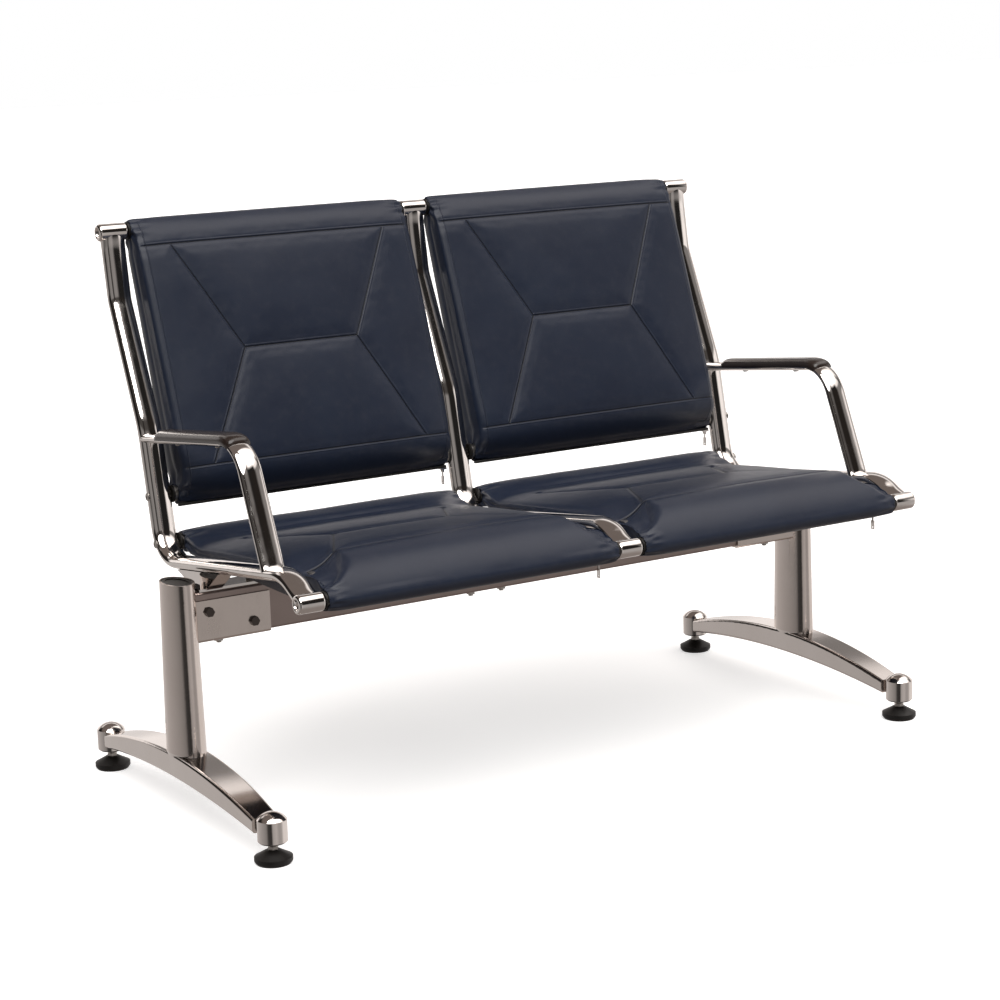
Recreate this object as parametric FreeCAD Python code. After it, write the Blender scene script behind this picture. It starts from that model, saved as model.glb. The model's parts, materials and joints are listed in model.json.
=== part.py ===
import FreeCAD, Part
import math
import os

# Two-place beam seating: leather seats and backs hang between three chrome side frames,
# which stand on one beam between two columns with arched feet.
# Millimetres. +X runs along the beam, +Y from the front edge to the back, +Z up.
# The origin is on the floor, under the middle of the whole bench.
# In this file a depth is a distance behind the axis of the front cross tubes.

Vector = FreeCAD.Vector
ALONG_X = Vector(1, 0, 0)
ALONG_Y = Vector(0, 1, 0)
ALONG_Z = Vector(0, 0, 1)

# Bench layout
frame_pitch = 540.0
column_outset = 46.5
column_depth = 334.0
foot_middle_depth = 340.0
glide_spread = 567.0

# Side frame: a flat oval tube bent to an L, with its corners before rounding
frame_width = 39.0
frame_thickness = 19.0
frame_wall = 2.0
front_axis_height = 384.0
front_corner_depth = 55.0
front_corner_height = 414.0
rear_corner_depth = 465.0
rear_corner_height = 364.0
lumbar_depth = 506.0
lumbar_height = 566.0
kink_depth = 590.0
kink_height = 758.0
top_axis_depth = 606.0
top_axis_height = 862.0
front_bend_radius = 80.0
rear_bend_radius = 55.0
lumbar_bend_radius = 160.0
kink_bend_radius = 60.0
front_knuckle_diameter = 28.0
front_knuckle_length = 42.0
top_knuckle_diameter = 26.0
top_knuckle_length = 48.0
knuckle_edge = 3.0

# Armrest: a flat oval tube from the post to the seat rail
arm_width = 38.0
arm_thickness = 14.0
arm_wall = 1.5
arm_plug_length = 18.0
arm_rear_height = 551.0
arm_corner_depth = 180.0
arm_corner_height = 586.0
arm_foot_depth = 104.0
arm_bend_radius = 60.0
arm_pad_width = 41.0
arm_pad_thickness = 5.5
arm_pad_skirt = 1.0
arm_pad_rear_depth = 452.0
arm_pad_front_gap = 8.0
arm_pad_edge = 4.0
arm_pad_crown = 1.5
arm_pad_end_round = 4.0
arm_pad_end_share = 0.3
arm_pad_clearance = 0.1
pad_screw_diameter = 4.0
pad_screw_head_diameter = 9.0
pad_screw_head_height = 2.5
pad_screw_bite = 4.0
pad_screw_front_depth = 265.0
pad_screw_rear_depth = 403.0

# Cross tubes of the seats and backs, with their rings and bolts
cross_tube_diameter = 25.0
cross_tube_wall = 2.0
cross_tube_plug = 22.0
ring_diameter = 27.0
ring_bore = 12.0
ring_thickness = 3.0
back_bottom_height = 463.0
rear_tube_place_on_bend = 0.7
bolt_diameter = 8.0
bolt_bite = 18.0
bolt_hole_clearance = 0.4
thread_clearance = 0.1
button_head_diameter = 14.0
button_head_height = 4.0
head_edge_share = 0.6
knuckle_recess_diameter = 16.0
knuckle_recess_depth = 8.0

# Sheet steel boards in the upholstery
board_thickness = 2.0
board_side_margin = 12.0
seat_board_crest_depth = 58.0
seat_board_crest_height = 410.0
seat_board_rear_depth = 425.0
seat_board_rear_height = 381.0
seat_board_crest_radius = 45.0
seat_board_rear_radius = 40.0
seat_hollow_depth = 38.0

# Upholstery: leather over foam, rolled round the cross tubes
seat_side_gap = 5.0
back_side_gap = 8.0
cover_over_tube = 6.0
cover_sheet = 3.0
soft_clearance = 0.3
cushion_round = 30.0
cushion_crown = 2.5
end_taper = 3.0
seat_front_seam_depth = 72.0
seat_front_seam_height = 437.0
seat_rear_seam_depth = 405.0
seat_rear_seam_height = 397.0
seat_waterfall_bulge = 17.0
seat_side_drop = 26.0
seat_rear_seam_follow = 0.35
seat_waterfall_fade = 0.7
back_low_seam_rise = 32.0
back_low_seam_stand = 52.0
back_high_seam_rise = 385.0
back_high_seam_stand = 34.0
back_side_drop = 26.0
back_brow_bulge = 3.0
back_high_seam_follow = 0.6
back_low_bulge_share = 0.2
seam_width = 5.0
seam_groove = 3.0
seam_side_margin = 12.0
waist_half_length = 100.0
hourglass_half_width = 190.0

# Zips
zip_width = 6.0
zip_thickness = 1.2
zip_end_margin = 1.0
seat_zip_depth = 32.0
slider_length = 11.0
slider_width = 9.0
slider_floor = 1.5
slider_clearance = 0.4
slider_ear = 1.2
slider_ear_drop = 4.6
pull_pin_diameter = 1.6
pull_length = 22.0
pull_width = 7.0
pull_thickness = 1.5
pull_eye_diameter = 4.0
pull_hole_diameter = 3.4
pull_bore_clearance = 0.1
pull_side_clearance = 0.2
pull_neck_share = 0.4
pull_neck_length_share = 0.35
slider_wall_share = 0.6
slider_ear_half = 1.8
slider_inset = 7.0
back_zip_lead = 8.0

# Beam and what holds it
beam_height = 74.0
beam_depth = 45.0
beam_wall = 3.0
beam_corner = 5.0
beam_bottom = 270.0
socket_sheet = 3.0
socket_reach = 140.0
socket_side_height = 64.0
socket_screw_near = 38.0
socket_screw_far = 112.0
socket_screw_near_height = 313.0
socket_screw_far_height = 288.0
hex_head_flats = 13.0
hex_head_height = 5.5
nut_height = 6.5
bolt_end_length = 3.0

# Saddles between beam and side frames
saddle_plate = 4.0
saddle_inner_reach = 21.0
saddle_outer_reach = 94.0
saddle_bolt_near = 17.0
saddle_bolt_far = 75.0
saddle_web_width = 26.0
saddle_web_sheet = 3.0
saddle_front_depth = 245.0
saddle_rear_depth = 425.0
saddle_heel = 30.0
saddle_edge_sheets = 3.0
spanner_room = 3.0
spanner_height = 4.0

# Columns and feet
column_bottom_width = 54.0
column_bottom_depth = 85.0
column_top_width = 47.0
column_top_depth = 75.0
column_bottom = 100.0
column_top = 361.0
column_wall = 3.0
column_floor = 12.0
cap_thickness = 9.0
cap_inset = 1.0
cap_clearance = 0.15
cap_recess = 1.5
cap_rim = 5.0
foot_crest_height = 99.0
foot_end_height = 63.0
foot_belly_height = 62.0
foot_belly_end_height = 41.0
foot_arc_half_length = 262.0
foot_mid_width = 54.0
foot_end_width = 42.0
foot_edge = 5.0
boss_diameter = 44.0
boss_bottom = 31.0
boss_shoulder = 65.0
boss_top = 76.0
boss_edge = 2.0
foot_bolt_spacing = 46.0
foot_bolt_diameter = 10.0
foot_bolt_head_diameter = 17.0
foot_bolt_head_height = 9.0
foot_bolt_recess = 12.0
foot_bolt_head_clearance = 1.0

# Levelling glides
glide_diameter = 56.0
glide_sole_diameter = 50.0
glide_rim_bottom = 4.0
glide_rim_top = 10.0
glide_cone_foot_height = 11.5
glide_cone_foot_diameter = 50.0
glide_neck_diameter = 20.0
glide_height = 20.0
glide_socket_diameter = 8.2
glide_socket_floor = 5.0
stem_pin_diameter = 8.0
stem_pin_clearance = 0.1
stem_diameter = 10.0
stem_clearance = 0.1
stem_hex_flats = 14.0
stem_hex_height = 5.0
stem_top = 60.0
stem_bore_top = 68.0

# Worked out from the sizes above
half_bench = frame_pitch
column_x = half_bench + column_outset
cross_tube_radius = cross_tube_diameter / 2
roll_radius = cross_tube_radius + cover_over_tube
front_reach = max(roll_radius, front_knuckle_diameter / 2)
rear_reach = max(foot_middle_depth + glide_spread / 2 + glide_diameter / 2,
                 top_axis_depth + top_knuckle_diameter / 2)
middle_depth = (rear_reach - front_reach) / 2
beam_top = beam_bottom + beam_height
beam_front = column_depth - beam_depth / 2
beam_rear = column_depth + beam_depth / 2
seat_half = (frame_pitch - frame_width) / 2 - seat_side_gap
back_half = (frame_pitch - frame_width) / 2 - back_side_gap
seat_centres = {"left": -frame_pitch / 2, "right": frame_pitch / 2}
frame_places = {"left": -half_bench, "centre": 0.0, "right": half_bench}
side_signs = {"left": -1, "right": 1}


def at(x, depth, height):
    """A point from its place along the beam, its depth and its height."""
    return Vector(x, depth - middle_depth, height)


def save(name, *solids):
    """Write one or more solids as one node."""
    parts = [piece for solid in solids for piece in solid.Solids]
    for piece in parts:
        if not piece.isValid():
            print("not valid:", name)
    shape = parts[0] if len(parts) == 1 else Part.makeCompound(parts)
    shape.exportStep(os.path.join("parts", name + ".step"))
    box = shape.optimalBoundingBox()
    print("%-24s solids %2d volume %11.1f  x %7.1f %7.1f  y %7.1f %7.1f  z %6.1f %6.1f" % (
        name, len(parts), shape.Volume, box.XMin, box.XMax, box.YMin, box.YMax, box.ZMin, box.ZMax))


def moved(shape, x, y=0.0, z=0.0):
    """A copy shifted by the given distances."""
    copy = shape.copy()
    copy.translate(Vector(x, y, z))
    return copy


def mirrored(shape):
    """A copy mirrored from one end of the bench to the other."""
    return shape.mirror(Vector(0, 0, 0), ALONG_X)


def cylinder(start, direction, length, diameter):
    """A round bar from a start point along a direction."""
    return Part.makeCylinder(diameter / 2, length, start, direction)


def box(low, high):
    """A block between two opposite corners."""
    size = high - low
    return Part.makeBox(size.x, size.y, size.z, low)


def hexagon(start, direction, length, flats):
    """A hexagonal bar, as for a bolt head or a nut."""
    sideways = ALONG_X if abs(direction.x) < 0.5 else ALONG_Y
    across = direction.cross(sideways).normalize()
    radius = flats / math.sqrt(3)
    corners = []
    for turn in range(7):
        angle = math.radians(60 * turn)
        corners.append(start + sideways * (radius * math.cos(angle)) + across * (radius * math.sin(angle)))
    return Part.Face(Part.makePolygon(corners)).extrude(direction * length)


def arc_through(start, middle, end):
    """An arc edge through three points."""
    return Part.Arc(start, middle, end).toShape()


def straight(start, end):
    """A straight edge."""
    return Part.LineSegment(start, end).toShape()


class Bend:
    """One rounded corner of a path: its tangent points, centre and middle."""

    def __init__(self, before, corner, after, radius):
        arriving = (corner - before).normalize()
        leaving = (after - corner).normalize()
        turn = arriving.getAngle(leaving)
        setback = radius * math.tan(turn / 2)
        self.start = corner - arriving * setback
        self.end = corner + leaving * setback
        inward = (leaving - arriving).normalize()
        self.centre = corner + inward * (radius / math.cos(turn / 2))
        self.middle = self.centre - inward * radius
        self.turn = turn
        self.axis = arriving.cross(leaving).normalize()

    def point(self, share):
        """The point at a share of the bend, from 0 at its start to 1 at its end."""
        spoke = self.start - self.centre
        turning = FreeCAD.Rotation(self.axis, math.degrees(self.turn * share))
        return self.centre + turning.multVec(spoke)

    def edge(self, share=1.0):
        """The bend's arc, whole or up to a share of it."""
        return arc_through(self.start, self.point(share / 2), self.point(share))


def bends_of(corners, radii):
    """The rounded corners of a path through the given points."""
    return [Bend(corners[i], corners[i + 1], corners[i + 2], radii[i]) for i in range(len(radii))]


def rounded_path(corners, radii):
    """A wire of straight runs joined by tangent arcs."""
    edges = []
    here = corners[0]
    for bend in bends_of(corners, radii):
        edges.append(straight(here, bend.start))
        edges.append(bend.edge())
        here = bend.end
    edges.append(straight(here, corners[-1]))
    return Part.Wire(edges)


def sweep(path, section):
    """A solid swept along a path that lies in an upright plane across the beam."""
    maker = Part.BRepOffsetAPI.MakePipeShell(path)
    maker.setBiNormalMode(ALONG_X)
    maker.add(section)
    maker.build()
    maker.makeSolid()
    return maker.shape()


def flat_oval(start, onward, width, thickness):
    """A flat oval wire across a path, with its long side along the beam."""
    up = ALONG_X.cross(onward).normalize()
    half = (width - thickness) / 2
    radius = thickness / 2
    left_top = start - ALONG_X * half + up * radius
    left_low = start - ALONG_X * half - up * radius
    right_top = start + ALONG_X * half + up * radius
    right_low = start + ALONG_X * half - up * radius
    return Part.Wire([
        straight(left_top, right_top),
        arc_through(right_top, start + ALONG_X * (half + radius), right_low),
        straight(right_low, left_low),
        arc_through(left_low, start - ALONG_X * (half + radius), left_top),
    ])


def oval_bar(corners, radii, width, thickness):
    """A flat oval bar along a rounded path."""
    onward = (corners[1] - corners[0]).normalize()
    return sweep(rounded_path(corners, radii), flat_oval(corners[0], onward, width, thickness))


def shortened(corners, length):
    """The same path with both ends drawn in."""
    first = corners[0] + (corners[1] - corners[0]).normalize() * length
    last = corners[-1] + (corners[-2] - corners[-1]).normalize() * length
    return [first] + corners[1:-1] + [last]


# Side frame path, from the front knuckle to the top knuckle
frame_corners = [
    at(0, 0, front_axis_height),
    at(0, front_corner_depth, front_corner_height),
    at(0, rear_corner_depth, rear_corner_height),
    at(0, lumbar_depth, lumbar_height),
    at(0, kink_depth, kink_height),
    at(0, top_axis_depth, top_axis_height),
]
frame_radii = [front_bend_radius, rear_bend_radius, lumbar_bend_radius, kink_bend_radius]
frame_bends = bends_of(frame_corners, frame_radii)
frame_bar = oval_bar(frame_corners, frame_radii, frame_width, frame_thickness)
frame_bore = oval_bar(frame_corners, frame_radii,
                      frame_width - 2 * frame_wall, frame_thickness - 2 * frame_wall)


def on_line(first, second, height):
    """The point of a slanted straight run at a given height."""
    share = (height - first.z) / (second.z - first.z)
    return first + (second - first) * share


# Axes of the cross tubes in the plane of a side frame
front_axis = frame_corners[0]
rear_axis = frame_bends[1].point(rear_tube_place_on_bend)
bottom_axis = on_line(frame_corners[2], frame_corners[3], back_bottom_height)
top_axis = frame_corners[-1]
knuckle_lengths = {"front": front_knuckle_length, "rear": frame_width,
                   "bottom": frame_width, "top": top_knuckle_length}
tube_axes = {"front": front_axis, "rear": rear_axis, "bottom": bottom_axis, "top": top_axis}


def knuckle(centre, diameter, length, heads):
    """A short cylinder that ends a frame tube, bored for the bolt of the cross tubes."""
    radius = diameter / 2
    half = length / 2
    flat = radius - knuckle_edge
    start = Vector(-half, 0, 0)
    profile = Part.Wire([
        straight(start, Vector(-half, flat, 0)),
        straight(Vector(-half, flat, 0), Vector(-half + knuckle_edge, radius, 0)),
        straight(Vector(-half + knuckle_edge, radius, 0), Vector(half - knuckle_edge, radius, 0)),
        straight(Vector(half - knuckle_edge, radius, 0), Vector(half, flat, 0)),
        straight(Vector(half, flat, 0), Vector(half, 0, 0)),
        straight(Vector(half, 0, 0), start),
    ])
    body = Part.Face(profile).revolve(Vector(0, 0, 0), ALONG_X, 360)
    hole = bolt_diameter + bolt_hole_clearance
    body = body.cut(cylinder(start, ALONG_X, length, hole))
    if heads:
        face = Vector(heads * half, 0, 0)
        body = body.cut(cylinder(face, Vector(-heads, 0, 0), knuckle_recess_depth, knuckle_recess_diameter))
    body.translate(centre)
    return body


def make_side_frames():
    """Three bent tubes, their knuckles, and the holes for the cross tube bolts."""
    reach = ALONG_X * frame_width
    stub_front = cylinder(front_axis - reach, ALONG_X, 2 * frame_width, front_knuckle_diameter)
    stub_top = cylinder(top_axis - reach, ALONG_X, 2 * frame_width, top_knuckle_diameter)
    tube = frame_bar.cut(frame_bore).cut(stub_front).cut(stub_top)
    for axis in (rear_axis, bottom_axis):
        hole = bolt_diameter + bolt_hole_clearance
        tube = tube.cut(cylinder(axis - reach, ALONG_X, 2 * frame_width, hole))
    tube = max(tube.Solids, key=lambda solid: solid.Volume)
    fronts = []
    tops = []
    for name, x in frame_places.items():
        save("side_frame_" + name, moved(tube, x))
        outer = (x > 0) - (x < 0)
        fronts.append(moved(knuckle(front_axis, front_knuckle_diameter, front_knuckle_length, outer), x))
        tops.append(moved(knuckle(top_axis, top_knuckle_diameter, top_knuckle_length, outer), x))
    save("front_knuckles", *fronts)
    save("top_knuckles", *tops)


def domed_head(start, direction, diameter, height):
    """A low domed screw head that stands on a face."""
    head = cylinder(start, direction, height, diameter)
    rim = [edge for edge in head.Edges
           if edge.Curve.TypeId == "Part::GeomCircle" and (edge.CenterOfMass - start).Length > height / 2]
    return head.makeFillet(height * head_edge_share, rim)


def make_cross_tubes():
    """Tubes between the frames, their black end rings and their bolts."""
    rings = []
    bolts = []
    names = {"front": "seat_front_tube_", "rear": "seat_rear_tube_",
             "bottom": "back_bottom_tube_", "top": "back_top_tube_"}
    for place, axis in tube_axes.items():
        half = (frame_pitch - knuckle_lengths[place]) / 2 - ring_thickness
        bore = cross_tube_diameter - 2 * cross_tube_wall
        tube = cylinder(axis - ALONG_X * half, ALONG_X, 2 * half, cross_tube_diameter)
        hollow = half - cross_tube_plug
        tube = tube.cut(cylinder(axis - ALONG_X * hollow, ALONG_X, 2 * hollow, bore))
        tube = tube.cut(cylinder(axis - ALONG_X * half, ALONG_X, 2 * half, bolt_diameter + thread_clearance))
        ring = cylinder(axis, ALONG_X, ring_thickness, ring_diameter)
        ring = ring.cut(cylinder(axis, ALONG_X, ring_thickness, ring_bore))
        for side, x in seat_centres.items():
            save(names[place] + side, moved(tube, x))
            rings.append(moved(ring, x - half - ring_thickness))
            rings.append(moved(ring, x + half))
        knuckle_half = knuckle_lengths[place] / 2
        inner_reach = knuckle_half + ring_thickness + bolt_bite
        bolts.append(cylinder(axis - ALONG_X * inner_reach, ALONG_X, 2 * inner_reach, bolt_diameter))
        recessed = place in ("front", "top")
        for sign in (-1, 1):
            seat = knuckle_half - (knuckle_recess_depth if recessed else 0)
            outward = ALONG_X * sign
            under_head = axis + outward * (half_bench + seat)
            tip = inner_reach + seat
            bolt = cylinder(under_head - outward * tip, outward, tip, bolt_diameter)
            head = domed_head(under_head, outward, button_head_diameter, button_head_height)
            bolts.append(bolt.fuse(head))
    save("spacer_rings", *rings)
    save("tube_bolts", *bolts)


# Armrest path, from the post to the seat rail
post_joint = on_line(frame_corners[2], frame_corners[3], arm_rear_height)
rail_start = frame_bends[0].end
rail_end = frame_bends[1].start


def on_rail(depth):
    """The point of the straight seat rail at a given depth."""
    here = depth - middle_depth
    share = (here - rail_start.y) / (rail_end.y - rail_start.y)
    return rail_start + (rail_end - rail_start) * share


rail_joint = on_rail(arm_foot_depth)
arm_corners = [post_joint, at(0, arm_corner_depth, arm_corner_height), rail_joint]
arm_bend = bends_of(arm_corners, [arm_bend_radius])[0]
arm_bar = oval_bar(arm_corners, [arm_bend_radius], arm_width, arm_thickness)
arm_onward = (arm_corners[1] - arm_corners[0]).normalize()
arm_up = arm_onward.cross(ALONG_X).normalize()
arm_up = arm_up if arm_up.z > 0 else arm_up * -1


def on_arm(depth):
    """The point of the arm's straight top run at a given depth."""
    here = depth - middle_depth
    share = (here - arm_corners[0].y) / (arm_corners[1].y - arm_corners[0].y)
    return arm_corners[0] + (arm_corners[1] - arm_corners[0]) * share


def pad_section(start, inset):
    """The arm pad's outline across the arm: a low crowned cap over the tube's upper half."""
    half = arm_pad_width / 2 - inset
    low = arm_up * arm_pad_skirt
    top = arm_up * (arm_thickness / 2 + arm_pad_thickness - inset)
    rim = top - arm_up * arm_pad_crown
    shoulder = rim - arm_up * arm_pad_edge
    right = ALONG_X * half
    inner = ALONG_X * (half - arm_pad_edge)
    corner = ALONG_X * (half - arm_pad_edge * (1 - math.sqrt(0.5)))
    bevel = rim - arm_up * (arm_pad_edge * (1 - math.sqrt(0.5)))
    return Part.Wire([
        straight(start - right + low, start - right + shoulder),
        arc_through(start - right + shoulder, start - corner + bevel, start - inner + rim),
        arc_through(start - inner + rim, start + top, start + inner + rim),
        arc_through(start + inner + rim, start + corner + bevel, start + right + shoulder),
        straight(start + right + shoulder, start + right + low),
        straight(start + right + low, start - right + low),
    ])


def make_armrests():
    """The arm tubes, their pads and the pad screws."""
    bore = oval_bar(shortened(arm_corners, arm_plug_length), [arm_bend_radius],
                    arm_width - 2 * arm_wall, arm_thickness - 2 * arm_wall)
    tube = arm_bar.cut(bore).cut(frame_bar)
    tube = max(tube.Solids, key=lambda solid: solid.Volume)
    pad_start = on_arm(arm_pad_rear_depth)
    pad_end = arm_bend.start - arm_onward * arm_pad_front_gap
    length = (pad_end - pad_start).Length
    small_round = arm_pad_end_round * arm_pad_end_share
    wires = []
    for along, inset in ((0, arm_pad_end_round), (small_round, small_round),
                         (arm_pad_end_round, 0), (length - arm_pad_end_round, 0),
                         (length - small_round, small_round),
                         (length, arm_pad_end_round)):
        wires.append(pad_section(pad_start + arm_onward * along, inset))
    pad = Part.makeLoft(wires, True, True)
    tube_room = flat_oval(pad_start - arm_onward, arm_onward, arm_width + 2 * arm_pad_clearance,
                          arm_thickness + 2 * arm_pad_clearance)
    room = Part.Face(tube_room).extrude(arm_onward * (length + 2))
    pad = max(pad.cut(room).Solids, key=lambda solid: solid.Volume)
    screws = []
    for depth in (pad_screw_front_depth, pad_screw_rear_depth):
        under = on_arm(depth) - arm_up * (arm_thickness / 2)
        reach = arm_thickness + arm_pad_clearance + pad_screw_bite
        hole = pad_screw_diameter + bolt_hole_clearance
        tube = tube.cut(cylinder(under - arm_up, arm_up, arm_thickness + 2, hole))
        pad = pad.cut(cylinder(under, arm_up, reach + 0.5, pad_screw_diameter + thread_clearance))
        shank = cylinder(under, arm_up, reach, pad_screw_diameter)
        head = domed_head(under, arm_up * -1, pad_screw_head_diameter, pad_screw_head_height)
        screws.append(shank.fuse(head))
    all_screws = []
    for side, sign in side_signs.items():
        save("armrest_" + side, moved(tube, sign * half_bench))
        save("arm_pad_" + side, moved(pad, sign * half_bench))
        all_screws += [moved(screw, sign * half_bench) for screw in screws]
    save("arm_pad_screws", *all_screws)


# Board paths, each from one cross tube's axis to the other's
seat_board_corners = [
    front_axis,
    at(0, seat_board_crest_depth, seat_board_crest_height),
    at(0, seat_board_rear_depth, seat_board_rear_height),
    rear_axis,
]
seat_board_radii = [seat_board_crest_radius, seat_board_rear_radius]
back_board_corners = [bottom_axis, top_axis]


def sheet(corners, radii, below, above, half_width):
    """A sheet along a path, from below to above it, as wide as twice half_width."""
    onward = (corners[1] - corners[0]).normalize()
    up = ALONG_X.cross(onward).normalize()
    across = ALONG_X * half_width
    start = corners[0]
    outline = Part.makePolygon([
        start - across - up * below, start + across - up * below,
        start + across + up * above, start - across + up * above, start - across - up * below])
    return sweep(rounded_path(corners, radii), outline)


def make_boards():
    """The steel boards, welded between the cross tubes."""
    reach = ALONG_X * frame_pitch
    for name, corners, radii, half in (
            ("seat_board_", seat_board_corners, seat_board_radii, seat_half - board_side_margin),
            ("back_board_", back_board_corners, [], back_half - board_side_margin)):
        board = sheet(corners, radii, board_thickness / 2, board_thickness / 2, half)
        for end in (corners[0], corners[-1]):
            board = board.cut(cylinder(end - reach / 2, ALONG_X, frame_pitch, cross_tube_diameter))
        board = max(board.Solids, key=lambda solid: solid.Volume)
        for side, x in seat_centres.items():
            save(name + side, moved(board, x))


def seat_section(x, drop, crown):
    """The seat cushion's outline at one place across the seat."""
    front = Vector(x, front_axis.y, front_axis.z)
    rear = Vector(x, rear_axis.y, rear_axis.z)
    lift = Vector(0, 0, crown - drop)
    front_seam = at(x, seat_front_seam_depth, seat_front_seam_height) + lift
    rear_seam = at(x, seat_rear_seam_depth, seat_rear_seam_height) + lift * seat_rear_seam_follow
    roll = roll_radius - end_taper * drop / seat_side_drop
    nose = front - ALONG_Y * roll
    chord = nose - front_seam
    outward = Vector(0, chord.z, -chord.y).normalize()
    bulge = seat_waterfall_bulge * (1 - drop / seat_side_drop * seat_waterfall_fade)
    fall = (nose + front_seam) * 0.5 + outward * bulge
    slant = roll * math.sqrt(0.5)
    return Part.Wire([
        straight(front - ALONG_Z * roll, rear - ALONG_Z * roll),
        arc_through(rear - ALONG_Z * roll, rear + Vector(0, slant, -slant), rear + ALONG_Y * roll),
        arc_through(rear + ALONG_Y * roll, rear + Vector(0, slant, slant), rear + ALONG_Z * roll),
        straight(rear + ALONG_Z * roll, rear_seam),
        straight(rear_seam, front_seam),
        arc_through(front_seam, fall, nose),
        arc_through(nose, front + Vector(0, -slant, -slant), front - ALONG_Z * roll),
    ])


back_rise = (top_axis - bottom_axis).normalize()
back_stand = Vector(0, -back_rise.z, back_rise.y)


def on_back(x, rise, stand):
    """A point of the back cushion: rise along its tubes' plane, stand in front of that plane."""
    return bottom_axis + ALONG_X * x + back_rise * rise + back_stand * stand


def back_section(x, drop, crown):
    """The back cushion's outline at one place across the back."""
    length = (top_axis - bottom_axis).Length
    roll = roll_radius - end_taper * drop / back_side_drop
    slant = roll * math.sqrt(0.5)
    lift = crown - drop
    low_seam = on_back(x, back_low_seam_rise, back_low_seam_stand + lift)
    high_seam = on_back(x, back_high_seam_rise, back_high_seam_stand + lift * back_high_seam_follow)
    low_front = on_back(x, -roll * 0.5, roll * math.sqrt(0.75))
    bulge = (back_low_seam_stand + lift - roll) * back_low_bulge_share
    low_round = (low_front + low_seam) * 0.5 - back_rise * bulge + back_stand * bulge
    top_front = on_back(x, length + slant, slant)
    high_round = (high_seam + top_front) * 0.5 + (back_rise + back_stand) * back_brow_bulge
    return Part.Wire([
        straight(on_back(x, 0, -roll), on_back(x, length, -roll)),
        arc_through(on_back(x, length, -roll), on_back(x, length + roll, 0), top_front),
        arc_through(top_front, high_round, high_seam),
        straight(high_seam, low_seam),
        arc_through(low_seam, low_round, low_front),
        arc_through(low_front, on_back(x, -roll, 0), on_back(x, 0, -roll)),
    ])


def cushion_form(section, side_drop, half_width):
    """A cushion lofted across its width: flat crowned middle, rounded drawn-in ends."""
    plateau = half_width - cushion_round
    stations = [(0.0, 0.0), (plateau * 0.5, 0.0), (plateau, 0.0)]
    for share in (0.5, 0.8, 0.95, 1.0):
        fall = side_drop * (1 - math.sqrt(1 - share * share))
        stations.append((plateau + cushion_round * share, fall))
    everywhere = [(-x, fall) for x, fall in reversed(stations[1:])] + stations
    wires = []
    for x, fall in everywhere:
        crown = cushion_crown * (1 - min(abs(x) / plateau, 1.0) ** 2)
        wires.append(section(x, fall, crown))
    return Part.makeLoft(wires, True, True)


def groove(start, end, outward):
    """A V shaped cutter along a sewn seam."""
    along = (end - start).normalize()
    sideways = along.cross(outward).normalize() * (seam_width / 2)
    lip = outward * seam_groove
    outline = Part.makePolygon([
        start - outward * seam_groove, start + sideways + lip * 0.2, start + sideways + lip,
        start - sideways + lip, start - sideways + lip * 0.2, start - outward * seam_groove])
    return Part.Face(outline).extrude(end - start)


def seam_lines(low, high, waist, half_width):
    """The sewn hourglass: two cross seams, a waist and four diagonals, as pairs of points."""
    edge = half_width - seam_side_margin
    lines = [(low(-edge), low(edge)), (high(-edge), high(edge)),
             (waist(-waist_half_length), waist(waist_half_length))]
    for sign in (-1, 1):
        lines.append((low(sign * hourglass_half_width), waist(sign * waist_half_length)))
        lines.append((waist(sign * waist_half_length), high(sign * hourglass_half_width)))
    return lines


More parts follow.
